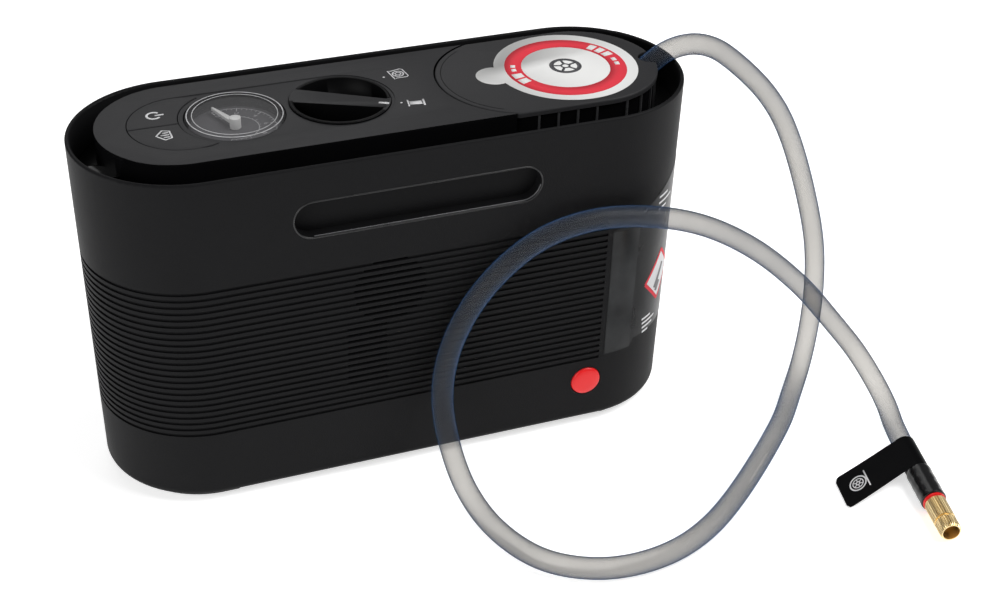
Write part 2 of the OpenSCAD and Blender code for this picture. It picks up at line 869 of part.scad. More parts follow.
module crank_bearing() {
  x0 = plate_x - plate_t / 2;
  color([0.75, 0.6, 0.25])
    difference() {
      x_rod(x0 - 8, 0, crank_z, 8 + plate_t, 5);
      x_rod(x0 - 10, 0, crank_z, 20, 3 + run);
    }
}

module crank_gear() {
  color([0.9, 0.9, 0.86])
    difference() {
      spur(gear_x - gear_w / 2, crank_z, gear_teeth, gear_w, 180 / gear_teeth + 90);
      x_rod(gear_x - 10, 0, crank_z, 20, 3);
      x_rod(gear_x - 10, 0, crank_z - crank_throw, 20, 2.5);
      for (a = [60 : 60 : 300])
        translate([gear_x - 5, 0, crank_z]) rotate([90, 0, 90])
          rotate([0, 0, a - 90]) translate([gear_teeth / 2 - 7, 0, 0]) cylinder(h = 10, r = 2.6);
    }
}

module crank_shaft() {
  color([0.8, 0.8, 0.82])
    x_rod(plate_x - plate_t / 2 - 10, 0, crank_z, gear_x + gear_w / 2 - plate_x + plate_t / 2 + 10, 3);
}

module crank_pin() {
  x0 = gear_x - gear_w / 2;
  color([0.8, 0.8, 0.82])
    x_rod(x0, 0, crank_z - crank_throw, cyl_x - 3.2 - gap - x0, 2.5);
}

module cylinder_block_shape(z0, h) {
  translate([cyl_x - cyl_half, -cyl_half, z0]) cube([2 * cyl_half, 2 * cyl_half, h]);
}

module pump_cylinder() {
  color([0.72, 0.73, 0.75])
    difference() {
      cylinder_block_shape(cyl_low, cyl_top - cyl_low);
      translate([cyl_x, 0, cyl_low - 1]) cylinder(h = 60, r = bore_r);
      for (p = head_spots)
        translate([p[0], p[1], cyl_top - 8]) cylinder(h = 20, r = screw_r - 0.1);
      for (z = [cyl_low + 3 : 4 : cyl_top - 5])
        difference() {
          cylinder_block_shape(z, 1.6);
          translate([cyl_x - cyl_half - 1, -cyl_half + 1.2, z - 1])
            cube([2 * cyl_half - 0.2, 2 * cyl_half - 2.4, 4]);
        }
    }
}

module cylinder_head() {
  color([0.6, 0.61, 0.63])
    difference() {
      union() {
        cylinder_block_shape(cyl_top, head_h);
        x_rod(cyl_x + cyl_half - eps, 0, cyl_top + head_h / 2, 5, 3);
      }
      translate([cyl_x, 0, cyl_top - 1]) cylinder(h = 1.4, r = 9);
      translate([cyl_x, 0, cyl_top]) cylinder(h = head_h / 2, r = 2);
      x_rod(cyl_x, 0, cyl_top + head_h / 2, 40, 1.5);
      for (p = head_spots)
        translate([p[0], p[1], cyl_top - 1]) cylinder(h = 20, r = screw_r + 0.1);
    }
}

module reed_valve() {
  color([0.8, 0.8, 0.82])
    translate([cyl_x, 0, cyl_top]) cylinder(h = 0.4, r = 8.8);
}

module head_screws() {
  color([0.6, 0.6, 0.6])
    for (p = head_spots)
      translate([p[0], p[1], cyl_top + head_h]) {
        cylinder(h = 2.2, r = 2.5);
        translate([0, 0, -head_h - 6]) cylinder(h = head_h + 6 + eps, r = screw_r - 0.1);
      }
}

module piston() {
  color([0.75, 0.76, 0.78])
    difference() {
      translate([cyl_x, 0, crown_z - piston_h]) cylinder(h = piston_h, r = bore_r - run);
      translate([cyl_x, 0, crown_z - piston_h - 1]) cylinder(h = piston_h - 1, r = bore_r - 3);
      x_rod(cyl_x - 20, 0, wrist_z, 40, 2);
      translate([cyl_x, 0, crown_z - 2.6])
        difference() {
          cylinder(h = 1.4, r = bore_r + 1);
          translate([0, 0, -1]) cylinder(h = 4, r = bore_r - 1);
        }
    }
}

module piston_seal() {
  color([0.08, 0.08, 0.08])
    translate([cyl_x, 0, crown_z - 2.6])
      difference() {
        cylinder(h = 1.4, r = bore_r - 0.02);
        translate([0, 0, -1]) cylinder(h = 4, r = bore_r - 1);
      }
}

module wrist_pin() {
  color([0.8, 0.8, 0.82])
    x_rod(cyl_x - bore_r + 1, 0, wrist_z, 2 * bore_r - 2, 2);
}

module connecting_rod() {
  color([0.3, 0.3, 0.32])
    difference() {
      union() {
        x_rod(cyl_x - 3.2, 0, wrist_z, 6.4, 3.8);
        x_rod(cyl_x - 3.2, 0, wrist_z - rod_len, 6.4, 5.5);
        translate([cyl_x - 2, -2.5, wrist_z - rod_len + 4]) cube([4, 5, rod_len - 7]);
      }
      x_rod(cyl_x - 10, 0, wrist_z, 20, 2 + run);
      x_rod(cyl_x - 10, 0, wrist_z - rod_len, 20, 2.5 + run);
    }
}

module air_tubes() {
  port_z = knob_low - 2.3 - 10.7;
  head_z = cyl_top + head_h / 2;
  head_x = cyl_x + cyl_half + 5;
  riser_x = max(head_x + 8, knob_x + 14.2);
  color([0.1, 0.1, 0.1]) {
    pipe([[head_x, 0, head_z], [riser_x, 0, head_z], [riser_x, 0, port_z],
      [knob_x + 11, 0, port_z]], 2.4);
    pipe([[knob_x - 11, 0, port_z], [knob_x - 17, 0, port_z], [knob_x - 17, 0, dial_top - 29],
      [gauge_x, 0, dial_top - 29], [gauge_x, 0, dial_top - 22]], 2.4);
    pipe([[riser_x, 0, head_z], [head_x + 22, 0, head_z], [head_x + 22, 0, base_top + 5],
      [cart_x - 22, 0, base_top + 5]], 2.4);
  }
}

module air_socket() {
  color([0.2, 0.2, 0.2])
    difference() {
      union() {
        translate([cart_x, 0, base_top]) cylinder(h = 4.5, r = 8);
        translate([cart_x - 22, -4, base_top]) cube([16, 8, 8]);
      }
      translate([cart_x, 0, base_top + 2]) cylinder(h = 10, r = 3);
      translate([cart_x - 7.6, -9, base_top + 4.5]) cube([20, 18, 10]);
    }
}

// ---- cartridge ----

module sealant_bottle() {
  x0 = cart_x - bottle_flat / 2;
  color([0.85, 0.85, 0.82])
    difference() {
      union() {
        translate([0, 0, bottle_low]) linear_extrude(bottle_top - bottle_low) stadium(bottle_r, x0, half);
        translate([cart_x, 0, bottle_top - eps]) cylinder(h = neck_h, r = neck_r);
      }
      translate([0, 0, bottle_low + bottle_wall])
        linear_extrude(bottle_top - bottle_low - 2 * bottle_wall) stadium(bottle_r - bottle_wall, x0, half);
      translate([cart_x, 0, bottle_top - 4]) cylinder(h = 20, r = neck_r - 2.5);
      translate([cart_x, 0, bottle_low - 1]) cylinder(h = 5, r = 3);
    }
}

// Groove near its foot is where the latch holds
module bottle_port() {
  color([0.15, 0.15, 0.15])
    translate([cart_x, 0, port_low])
      difference() {
        union() {
          cylinder(h = bottle_low - port_low, r = 5.2);
          cylinder(h = latch_z - port_low - gap, r = port_r - 0.2);
          translate([0, 0, latch_z + latch_t + gap - port_low])
            cylinder(h = bottle_low - latch_z - latch_t - gap, r = port_r - 0.2);
        }
        translate([0, 0, -1]) cylinder(h = 30, r = 2.5);
      }
}

module cartridge_cap() {
  color([0.22, 0.22, 0.225])
    difference() {
      union() {
        translate([0, 0, deck_under]) linear_extrude(deck_t) cap_outline();
        translate([0, 0, cap_low]) linear_extrude(deck_under - cap_low + eps) cap_outline(-cap_lip);
        for (x = [cap_left_x - 4 : fin_pitch : half], s = [-1, 1])
          translate([x - 0.4, s * (deck_r - cap_lip) - 0.9, cap_low])
            cube([0.8, 1.8, deck_under - cap_low + eps]);
        for (a = [-75 : fin_pitch / deck_r * 180 / PI : 75])
          translate([half, 0, cap_low]) rotate([0, 0, a])
            translate([deck_r - cap_lip - 0.9, -0.4, 0]) cube([1.8, 0.8, deck_under - cap_low + eps]);
        translate([0, 0, bottle_top])
          linear_extrude(cap_low - bottle_top + 4) stadium(bottle_r, cart_x - bottle_flat / 2, half);
      }
      translate([0, 0, bottle_top - 1])
        linear_extrude(cap_low - bottle_top + 3)
          stadium(bottle_r - cap_wall, cart_x - bottle_flat / 2, half);
      translate([0, 0, cap_low + eps])
        linear_extrude(deck_under - cap_low - 1)
          intersection() {
            cap_outline(-cap_lip - cap_wall);
            stadium(bottle_r - cap_wall, cart_x - bottle_flat / 2 - 4, half);
          }
      bar(hose_start, hose_start + 40 * hose_exit, hose_r + 1);
    }
}

module cap_seal() {
  color([0.06, 0.06, 0.06])
    translate([cart_x, 0, bottle_top + neck_h])
      difference() {
        cylinder(h = 1.5, r = neck_r);
        translate([0, 0, -1]) cylinder(h = 4, r = neck_r - 2.5);
      }
}

// Screw cap of the bottle with the pipe that feeds the hose
module pickup_elbow() {
  z0 = bottle_top + neck_h + 1.5;
  color([0.8, 0.8, 0.78]) {
    translate([cart_x, 0, z0]) cylinder(h = 2.5, r = neck_r);
    pipe([[cart_x, 0, z0 + 2], [cart_x, 0, z0 + 7], [hose_start[0] - 14, hose_start[1], z0 + 7],
      hose_start - 3 * hose_exit], 2.6);
  }
}

module hose_gland() {
  color([0.06, 0.06, 0.06])
    translate(hose_start) rotate([0, acos(hose_exit[2]), atan2(hose_exit[1], hose_exit[0])])
      difference() {
        translate([0, 0, -3]) cylinder(h = gland_len, r1 = hose_r + 2.6, r2 = hose_r + 1.4);
        cylinder(h = 20, r = hose_r);
        translate([0, 0, -4]) cylinder(h = 10, r = 2.6);
      }
}

module speed_label() {
  color([0.93, 0.93, 0.93])
    translate([0, 0, deck_top])
      linear_extrude(0.4) {
        translate([cart_x + 8.8, 0]) circle(32.9);
        translate([cart_x - 25.6, 0.8]) circle(8.4);
      }
}

// ---- hose ----

module sealant_hose() {
  color([0.8, 0.82, 0.85, 0.6]) tube(hose_route, hose_r - 0.02);
}

// Folded label: a wrap round the hose with a tail that slopes down to the floor
module hose_flag() {
  tail = 37;
  top = wrap_start[2] + hose_r + 0.2;
  color([0.04, 0.04, 0.04]) {
    at_hose_end(eps)
      difference() {
        cylinder(h = wrap_len - 4 - 2 * eps, r = hose_r + 0.6);
        translate([0, 0, -1]) cylinder(h = wrap_len, r = hose_r);
      }
    translate([wrap_start[0], wrap_start[1], 0]) rotate([0, 0, hose_heading])
      hull()
        for (p = [[2.1, -3.5, top], [19, -3.5, top], [17, -tail + 2, 0.3], [34.5, -tail + 2, 0.3]])
          translate(p) cylinder(h = 0.5, r = 1.6, $fn = 32);
  }
}

module hose_sleeve() {
  color([0.05, 0.05, 0.05])
    at_hose_end(wrap_len - 4) {
      difference() {
        cylinder(h = sleeve_len, r = sleeve_r);
        translate([0, 0, -1]) cylinder(h = 3, r = hose_r);
      }
    }
}

module hose_washer() {
  color([0.8, 0.1, 0.1])
    at_hose_end(wrap_len - 4 + sleeve_len) cylinder(h = washer_t, r = coupling_d / 2 + 0.3);
}

module valve_coupling() {
  color([0.83, 0.66, 0.33])
    at_hose_end(wrap_len - 4 + sleeve_len + washer_t)
      difference() {
        union() {
          cylinder(h = coupling_len - 1.5, r = coupling_d / 2);
          translate([0, 0, coupling_len - 1.5 - eps])
            cylinder(h = 1.5, r1 = coupling_d / 2, r2 = coupling_d / 2 - 0.8);
        }
        translate([0, 0, coupling_floor]) cylinder(h = coupling_len, r = valve_r);
        translate([-10, -0.9, coupling_len - 3.5]) cube([20, 1.8, 5]);
      }
}

outer_shell();
base_plate();
feet();
inner_frame();
top_deck();
side_label();
base_screws();
lead_grommet();
lamp_lens();
lamp_board();
gauge_body();
gauge_dial();
gauge_lens();
bourdon_tube();
gauge_needle();
needle_staff();
power_button();
light_button();
switch_board();
tact_switches();
selector_knob();
selector_spool();
valve_block();
release_button();
release_latch();
release_spring();
motor_can();
motor_end_cap();
motor_magnets();
motor_armature();
motor_shaft();
motor_pinion();
cooling_fan();
gear_plate();
crank_gear();
crank_shaft();
crank_pin();
crank_bearing();
pump_cylinder();
cylinder_head();
reed_valve();
head_screws();
piston();
piston_seal();
wrist_pin();
connecting_rod();
air_tubes();
air_socket();
sealant_bottle();
bottle_port();
cartridge_cap();
cap_seal();
pickup_elbow();
hose_gland();
speed_label();
sealant_hose();
hose_flag();
hose_sleeve();
hose_washer();
valve_coupling();
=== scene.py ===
import bpy, bmesh, math
from mathutils import Matrix, Vector


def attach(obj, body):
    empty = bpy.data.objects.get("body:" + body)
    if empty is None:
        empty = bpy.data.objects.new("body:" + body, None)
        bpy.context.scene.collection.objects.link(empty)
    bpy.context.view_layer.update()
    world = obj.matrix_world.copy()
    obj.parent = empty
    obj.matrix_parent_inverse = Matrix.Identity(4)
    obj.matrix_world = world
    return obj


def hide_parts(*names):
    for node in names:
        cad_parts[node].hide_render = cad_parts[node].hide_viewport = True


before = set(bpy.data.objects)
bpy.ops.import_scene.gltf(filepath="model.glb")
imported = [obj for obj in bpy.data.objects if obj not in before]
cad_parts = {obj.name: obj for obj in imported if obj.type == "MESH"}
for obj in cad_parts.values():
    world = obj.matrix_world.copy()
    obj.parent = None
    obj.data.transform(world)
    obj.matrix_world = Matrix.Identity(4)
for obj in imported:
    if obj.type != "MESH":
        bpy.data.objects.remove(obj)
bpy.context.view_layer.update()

MM = 0.001

# ---- sizes in millimetres, the same as the CAD's ----
HALF = 92.0                     # from the middle to the centre of a round end
END_R = 48.0
RIM_H = 168.0
DRAFT = 2.4                     # how much the side wall narrows from the rim to the floor
DECK_TOP = 171.0
DECK_R = 35.7
GAUGE_X = -68.0
DIAL_TOP = 164.9
LENS_R = 21.7
LENS_TOP = 171.6
KNOB_X = -21.2
KNOB_TOP = DECK_TOP + 0.2
KNOB_TURN = 55.0
CAP_X = 76.5
STICKER_X = CAP_X + 8.8
STICKER_R = 32.9
BAND_R = 24.1                   # middle of the sticker's red band
RELEASE_X, RELEASE_Z, RELEASE_R = 84.0, 26.5, 7.4
GRIP_Z, GRIP_H, GRIP_LEN = RIM_H - 25.9, 17.5, 112.0
HOSE_R = 5.0
HOSE_WALL = 0.28                # the part of the wall that darkens what is seen through it
HOSE_SIDES = 32
HEADING = math.radians(-102)    # where the straight end of the hose points
WRAP = (220.0, -117.4, 6.1)     # where the flag's film starts on it
WRAP_LEN = 21.0
FLAG_R = HOSE_R + 0.35
FLAG_T = 0.35
FLAG_TILT = math.radians(19.4)
TAIL_LEN = 36.6
TAIL_LOW = 0.75
TAIL_SAG = 0.216
SLEEVE_R = 6.0
SLEEVE_LEN = 20.5
WASHER_T = 1.5
COUPLING_LEN = 20.5
COUPLING_R = 5.1
FLUTES = 32
PRINT_LIFT = 0.03               # how far a printed mark's middle stands off its face
PRINT_T = 0.06

# ---- camera ----
CAM_AZ, CAM_EL, CAM_ROLL, CAM_DIST = -0.3773, 0.5907, 0.0310, 0.85262
CAM_TARGET = Vector((0.05328, 0.0, 0.05011))
back = Vector((math.sin(CAM_AZ) * math.cos(CAM_EL), -math.cos(CAM_AZ) * math.cos(CAM_EL), math.sin(CAM_EL)))
right = (-back).cross(Vector((0, 0, 1))).normalized()
up = right.cross(-back).normalized()
cam_x = right * math.cos(CAM_ROLL) + up * math.sin(CAM_ROLL)
cam_y = up * math.cos(CAM_ROLL) - right * math.sin(CAM_ROLL)
cam_data = bpy.data.cameras.new("camera")
cam_data.lens = 63.92
cam_data.sensor_width = 36.0
cam_data.clip_start = 0.01
cam_data.clip_end = 20
camera = bpy.data.objects.new("camera", cam_data)
place = CAM_TARGET + back * CAM_DIST
camera.matrix_world = Matrix((
    (cam_x[0], cam_y[0], back[0], place[0]),
    (cam_x[1], cam_y[1], back[1], place[1]),
    (cam_x[2], cam_y[2], back[2], place[2]),
    (0, 0, 0, 1)))
bpy.context.scene.collection.objects.link(camera)
bpy.context.scene.camera = camera


# ---- materials ----
def material(name, colour, rough=0.5, spread=0.06, tint=0.06, grain=900.0, bump=0.03, blotch=40.0,
             metal=0.0, coat=0.0, transmission=0.0, ior=1.5, sheen=0.0, specular=0.5, alpha=1.0):
    """A surface with fine grain, patchy gloss and slight patchy colour, all procedural."""
    m = bpy.data.materials.new(name)
    m.use_nodes = True
    nt = m.node_tree
    b = nt.nodes["Principled BSDF"]
    b.inputs["Metallic"].default_value = metal
    b.inputs["Coat Weight"].default_value = coat
    b.inputs["Coat Roughness"].default_value = 0.12
    b.inputs["Transmission Weight"].default_value = transmission
    b.inputs["IOR"].default_value = ior
    b.inputs["Specular IOR Level"].default_value = specular
    b.inputs["Sheen Weight"].default_value = sheen
    b.inputs["Alpha"].default_value = alpha
    co = nt.nodes.new("ShaderNodeTexCoord")
    patch = nt.nodes.new("ShaderNodeTexNoise")
    patch.inputs["Scale"].default_value = blotch
    patch.inputs["Detail"].default_value = 5
    nt.links.new(co.outputs["Object"], patch.inputs["Vector"])
    gloss = nt.nodes.new("ShaderNodeMapRange")
    gloss.inputs["To Min"].default_value = max(0.02, rough - spread)
    gloss.inputs["To Max"].default_value = rough + spread
    nt.links.new(patch.outputs["Fac"], gloss.inputs["Value"])
    nt.links.new(gloss.outputs["Result"], b.inputs["Roughness"])
    ramp = nt.nodes.new("ShaderNodeValToRGB")
    ramp.color_ramp.elements[0].position = 0.3
    ramp.color_ramp.elements[1].position = 0.7
    ramp.color_ramp.elements[0].color = [c * (1 - tint) for c in colour] + [1]
    ramp.color_ramp.elements[1].color = [min(1, c * (1 + tint)) for c in colour] + [1]
    nt.links.new(patch.outputs["Fac"], ramp.inputs["Fac"])
    nt.links.new(ramp.outputs["Color"], b.inputs["Base Color"])
    if bump:
        fine = nt.nodes.new("ShaderNodeTexNoise")
        fine.inputs["Scale"].default_value = grain
        fine.inputs["Detail"].default_value = 3
        nt.links.new(co.outputs["Object"], fine.inputs["Vector"])
        bn = nt.nodes.new("ShaderNodeBump")
        bn.inputs["Strength"].default_value = bump
        bn.inputs["Distance"].default_value = 0.0004
        nt.links.new(fine.outputs["Fac"], bn.inputs["Height"])
        nt.links.new(bn.outputs["Normal"], b.inputs["Normal"])
    return m


SHELL = material("shell_black", (0.0088, 0.0088, 0.0094), 0.5, bump=0.25, grain=1500, specular=0.06)
DECK = material("deck_grey", (0.027, 0.027, 0.0285), 0.46, bump=0.22, grain=1700, specular=0.10)
BUTTON = material("button_grey", (0.027, 0.027, 0.0285), 0.44, bump=0.2, grain=1700, specular=0.10)
GLOSS = material("gloss_black", (0.0030, 0.0030, 0.0034), 0.2, bump=0.04, grain=500, specular=0.3)
RECESS = material("recess_black", (0.0028, 0.0028, 0.0031), 0.45, bump=0.08, grain=900, specular=0.08)
RUBBER = material("foot_rubber", (0.010, 0.010, 0.010), 0.75, bump=0.4, grain=1200, specular=0.15)
SEAL = material("seal_rubber", (0.010, 0.010, 0.010), 0.6, bump=0.3, grain=1200, specular=0.2)
# Lighter grey on the cap skirt's fins is a painted highlight; the same grey prints the dial's outer ring.
FIN_HIGHLIGHT_AND_DIAL_PRINT = material("fin_highlight_and_dial_print", (0.040, 0.040, 0.042), 0.35, bump=0.08, grain=900, specular=0.3)
SLEEVE = material("sleeve_black", (0.005, 0.005, 0.0055), 0.25, bump=0.1, grain=700, specular=0.5)
INNER = material("inner_black", (0.008, 0.008, 0.008), 0.6, bump=0.2, specular=0.1)
LABEL = material("label_film", (0.0095, 0.0098, 0.0105), 0.3, spread=0.12, bump=0.1, grain=300, blotch=70,
                 specular=0.12)
LABEL_CLEAR = material("label_clear", (0.020, 0.021, 0.022), 0.22, spread=0.12, tint=0.45, bump=0.15,
                       grain=250, blotch=60, specular=0.14)
FLAG = material("flag_black", (0.0032, 0.0032, 0.0036), 0.4, spread=0.08, bump=0.06, grain=300, specular=0.03)
LIP = material("grip_lip", (0.012, 0.012, 0.0125), 0.28, bump=0.05, grain=900, specular=0.35)
# Light grey bead in the grips' lower inner corner: a painted highlight.
LIP_PAINTED_HIGHLIGHT = material("grip_lip_painted_highlight", (0.10, 0.10, 0.105), 0.22, bump=0.05, grain=900, specular=0.8)
PRINT_DARK = material("print_dark", (0.05, 0.05, 0.055), 0.4, bump=0.0)
WHITE_PRINT = material("white_print", (0.62, 0.62, 0.63), 0.45, bump=0.0)
DIAL = material("dial_grey", (0.100, 0.098, 0.105), 0.6, bump=0.0, specular=0.05)
DIAL_PRINT = material("dial_print", (0.46, 0.46, 0.47), 0.5, bump=0.0, specular=0.1)
# Light grey rings on the gauge lens: painted highlights of its rims.
LENS_PAINTED_HIGHLIGHT = material("lens_painted_highlight", (0.47, 0.47, 0.48), 0.5, spread=0.08, tint=0.35, bump=0.0, blotch=160)
STICKER = material("sticker_white", (0.74, 0.74, 0.73), 0.55, spread=0.05, tint=0.015, bump=0.02, grain=400,
                   specular=0.06)
RING_RED = material("ring_red", (0.66, 0.045, 0.065), 0.55, tint=0.04, bump=0.02, grain=400, specular=0.06)
RED = material("button_red", (0.78, 0.012, 0.014), 0.34, bump=0.05, grain=900, coat=0.1, specular=0.3)
NEEDLE = material("needle_white", (0.80, 0.80, 0.79), 0.4, tint=0.02, bump=0.03)
BOTTLE = material("bottle_natural", (0.72, 0.72, 0.68), 0.45, bump=0.1, grain=300)
STEEL = material("steel", (0.55, 0.55, 0.57), 0.3, metal=1.0, bump=0.05, grain=600)
ALLOY = material("cast_alloy", (0.5, 0.51, 0.53), 0.45, metal=1.0, bump=0.3, grain=800)
BRASS = material("brass", (0.93, 0.72, 0.38), 0.30, spread=0.08, metal=1.0, bump=0.08, grain=700)
COPPER = material("copper", (0.72, 0.32, 0.14), 0.4, metal=1.0, bump=0.4, grain=900)
BOARD = material("circuit_green", (0.015, 0.13, 0.04), 0.35, bump=0.1, grain=400)
CLEAR = material("lens_clear", (0.97, 0.98, 0.99), 0.04, spread=0.02, tint=0.01, bump=0.0, transmission=1.0,
                 ior=1.46)
WINDOW = material("window_clear", (0.15, 0.15, 0.155), 0.45, spread=0.02, tint=0.05, bump=0.0, specular=0.6,
                  alpha=0.14)
HOSE = material("hose_clear", (0.97, 0.96, 0.945), 0.05, spread=0.02, tint=0.02, bump=0.0, transmission=0.985,
                ior=1.01, coat=0.08, sheen=0.35)
HOSE.node_tree.nodes["Principled BSDF"].inputs["Sheen Tint"].default_value = (0.13, 0.36, 0.85, 1)
absorb = HOSE.node_tree.nodes.new("ShaderNodeVolumeAbsorption")
absorb.inputs["Color"].default_value = (0.12, 0.10, 0.06, 1)
absorb.inputs["Density"].default_value = 1500.0
HOSE.node_tree.links.new(absorb.outputs["Volume"], HOSE.node_tree.nodes["Material Output"].inputs["Volume"])


# ---- helpers ----
SHARP = 35.0                    # edges steeper than this, in degrees, stay sharp


def make(name, bm, mat, body, replaces=(), smooth=SHARP):
    """A piece from a mesh in metres, riding on a body and standing in for the CAD nodes it replaces."""
    me = bpy.data.meshes.new(name)
    bm.normal_update()
    bm.to_mesh(me)
    bm.free()
    o = bpy.data.objects.new(name, me)
    bpy.context.scene.collection.objects.link(o)
    for m in (mat if isinstance(mat, (list, tuple)) else [mat]):
        me.materials.append(m)
    me.shade_smooth()
    if smooth:
        me.set_sharp_from_angle(angle=math.radians(smooth))
    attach(o, body)
    if replaces:
        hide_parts(*replaces)
    return o


def refine(node, mat, body, weights, faces=None):
    """The CAD node's own shape with its edges rounded: weights(a, b) gives an edge's radius in mm."""
    bm = bmesh.new()
    bm.from_mesh(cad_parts[node].data)
    bmesh.ops.remove_doubles(bm, verts=bm.verts, dist=2e-6)
    bmesh.ops.dissolve_limit(bm, angle_limit=math.radians(0.6), verts=bm.verts, edges=bm.edges)
    layer = bm.edges.layers.float.new("bevel_weight_edge")
    for e in bm.edges:
        if len(e.link_faces) == 2 and e.calc_face_angle(0) > math.radians(32):
            e[layer] = weights(e.verts[0].co / MM, e.verts[1].co / MM)
    if faces:
        for f in bm.faces:
            f.material_index = faces(f.calc_center_median() / MM, f.normal)
    o = make(node + "_fine", bm, mat, body, (node,), smooth=None)
    mod = o.modifiers.new("edges", "BEVEL")
    mod.limit_method = "WEIGHT"
    mod.width = 1.0 * MM
    mod.segments = 3
    mod.use_clamp_overlap = True
    mod.harden_normals = False
    bpy.context.view_layer.objects.active = o
    apply_modifiers(o)
    o.data.shade_smooth()
    o.data.set_sharp_from_angle(angle=math.radians(SHARP))
    return o


def apply_modifiers(o):
    """Replaces the object's mesh by the one its modifiers give."""
    deps = bpy.context.evaluated_depsgraph_get()
    me = bpy.data.meshes.new_from_object(o.evaluated_get(deps))
    old = o.data
    o.modifiers.clear()
    o.data = me
    bpy.data.meshes.remove(old)


def thicken(o, thickness):
    """Turns a flat film into a solid one, half to each side, in mm."""
    mod = o.modifiers.new("thick", "SOLIDIFY")
    mod.thickness = thickness * MM
    mod.offset = 0
    apply_modifiers(o)


def circle(bm, radius, z, steps):
    """Ring of vertices about Z, in mm; the radius may be a function of the angle."""
    verts = []
    for k in range(steps):
        a = 2 * math.pi * k / steps
        r = radius(a) if callable(radius) else radius
        verts.append(bm.verts.new((r * math.cos(a) * MM, r * math.sin(a) * MM, z * MM)))
    return verts


def skin(bm, rings, flip=False):
    """Faces between neighbouring closed rings of vertices."""
    for a, b in zip(rings, rings[1:]):
        for k in range(len(a)):
            n = (k + 1) % len(a)
            f = (a[k], a[n], b[n], b[k])
            bm.faces.new(f[::-1] if flip else f)


def sheet(bm, rows):
    """Faces between neighbouring open rows of vertices."""
    for a, b in zip(rows, rows[1:]):
        for k in range(len(a) - 1):
            bm.faces.new((a[k], b[k], b[k + 1], a[k + 1]))


def lathe(profile, steps=96):
    """A turned shape about Z from (radius, height) pairs in mm."""
    bm = bmesh.new()
    rings = [circle(bm, r, z, steps) if r > 0 else [bm.verts.new((0, 0, z * MM))] for r, z in profile]
    for a, b in zip(rings, rings[1:]):
        if len(a) > 1 and len(b) > 1:
            skin(bm, [a, b])
            continue
        tip, rim = (a[0], b) if len(a) == 1 else (b[0], a)
        for k in range(steps):
            bm.faces.new((tip, rim[k], rim[(k + 1) % steps]))
    bmesh.ops.recalc_face_normals(bm, faces=bm.faces)
    return bm


def moved(bm, matrix):
    bmesh.ops.transform(bm, matrix=matrix, verts=bm.verts)
    return bm


def side_radius(z):
    """Half the depth of the body at a height, in mm."""
    return END_R - DRAFT * (RIM_H - z) / RIM_H


def hose_frame(s):
    """Matrix that stands a piece drawn along +Z onto the straight end of the hose, s along it."""
    turn = Matrix.Rotation(HEADING, 4, "Z") @ Matrix.Rotation(math.pi / 2, 4, "Y")
    return Matrix.Translation(Vector(WRAP) * MM) @ turn @ Matrix.Translation((0, 0, s * MM))


# ---- hose ----
ROUTE = [
    (112, -2, 153.5), (122, -2, 163.4), (128, -2, 168.3), (134, -2, 172),
    (141, -2, 174), (149, -2, 174), (157, -2, 171.6), (166, -2, 166),
    (190, -3, 142.5), (204, -5.5, 119), (218.5, -16, 68), (218.5, -24, 45),
    (213, -34, 26.5), (203, -47, 13), (190, -62, 6.2), (170, -85, 5.1),
    (108, -138, 5.1), (78, -150, 5.1), (50, -149, 5.1), (28, -136, 5.1), (15, -112, 5.6),
    (9, -88, 11), (7, -69, 24), (7, -58, 42), (11, -54, 63), (21, -53.4, 86),
    (37, -53.4, 105), (56, -53.4, 117), (80, -53.4, 121.5), (107, -53.4, 118), (134, -53.4, 108.5),
    (163, -53.4, 90), (191, -54.5, 64), (210, -59, 41), (221, -66.5, 26), (226.5, -78, 14.5),
    (226.8, -90, 8.8), (223.8, -102.5, 6.3), WRAP,
    (WRAP[0] + 23 * math.cos(HEADING), WRAP[1] + 23 * math.sin(HEADING), WRAP[2]),
]


def smooth_line(points, per_mm=0.5):
    """Centripetal Catmull-Rom curve through the points."""
    p = [Vector(q) for q in points]
    p = [2 * p[0] - p[1]] + p + [2 * p[-1] - p[-2]]
    out = []
    for i in range(1, len(p) - 2):
        a, b, c, d = p[i - 1:i + 3]
        t1 = (b - a).length ** 0.5
        t2 = t1 + (c - b).length ** 0.5
        t3 = t2 + (d - c).length ** 0.5
        n = max(2, int((c - b).length * per_mm))
        for k in range(n):
            t = t1 + (t2 - t1) * k / n
            a1 = a * (t1 - t) / t1 + b * t / t1
            a2 = b * (t2 - t) / (t2 - t1) + c * (t - t1) / (t2 - t1)
            a3 = c * (t3 - t) / (t3 - t2) + d * (t - t2) / (t3 - t2)
            b1 = a1 * (t2 - t) / t2 + a2 * t / t2
            b2 = a2 * (t3 - t) / (t3 - t1) + a3 * (t - t1) / (t3 - t1)
            out.append(b1 * (t2 - t) / (t2 - t1) + b2 * (t - t1) / (t2 - t1))
    out.append(p[-2])
    return out


def sweep(bm, line, radius, sides, flip=False):
    """Rings of the given radius along the line (mm); returns the first and last ring."""
    side = Vector((0, 1, 0))
    rings = []
    for i, q in enumerate(line):
        t = (line[min(i + 1, len(line) - 1)] - line[max(i - 1, 0)]).normalized()
        side = (side - t * side.dot(t)).normalized()
        other = t.cross(side)
        rings.append([bm.verts.new((q + radius * (math.cos(2 * math.pi * k / sides) * side
                                                  + math.sin(2 * math.pi * k / sides) * other)) * MM)
                      for k in range(sides)])
    skin(bm, rings, flip)
    return rings[0], rings[-1]


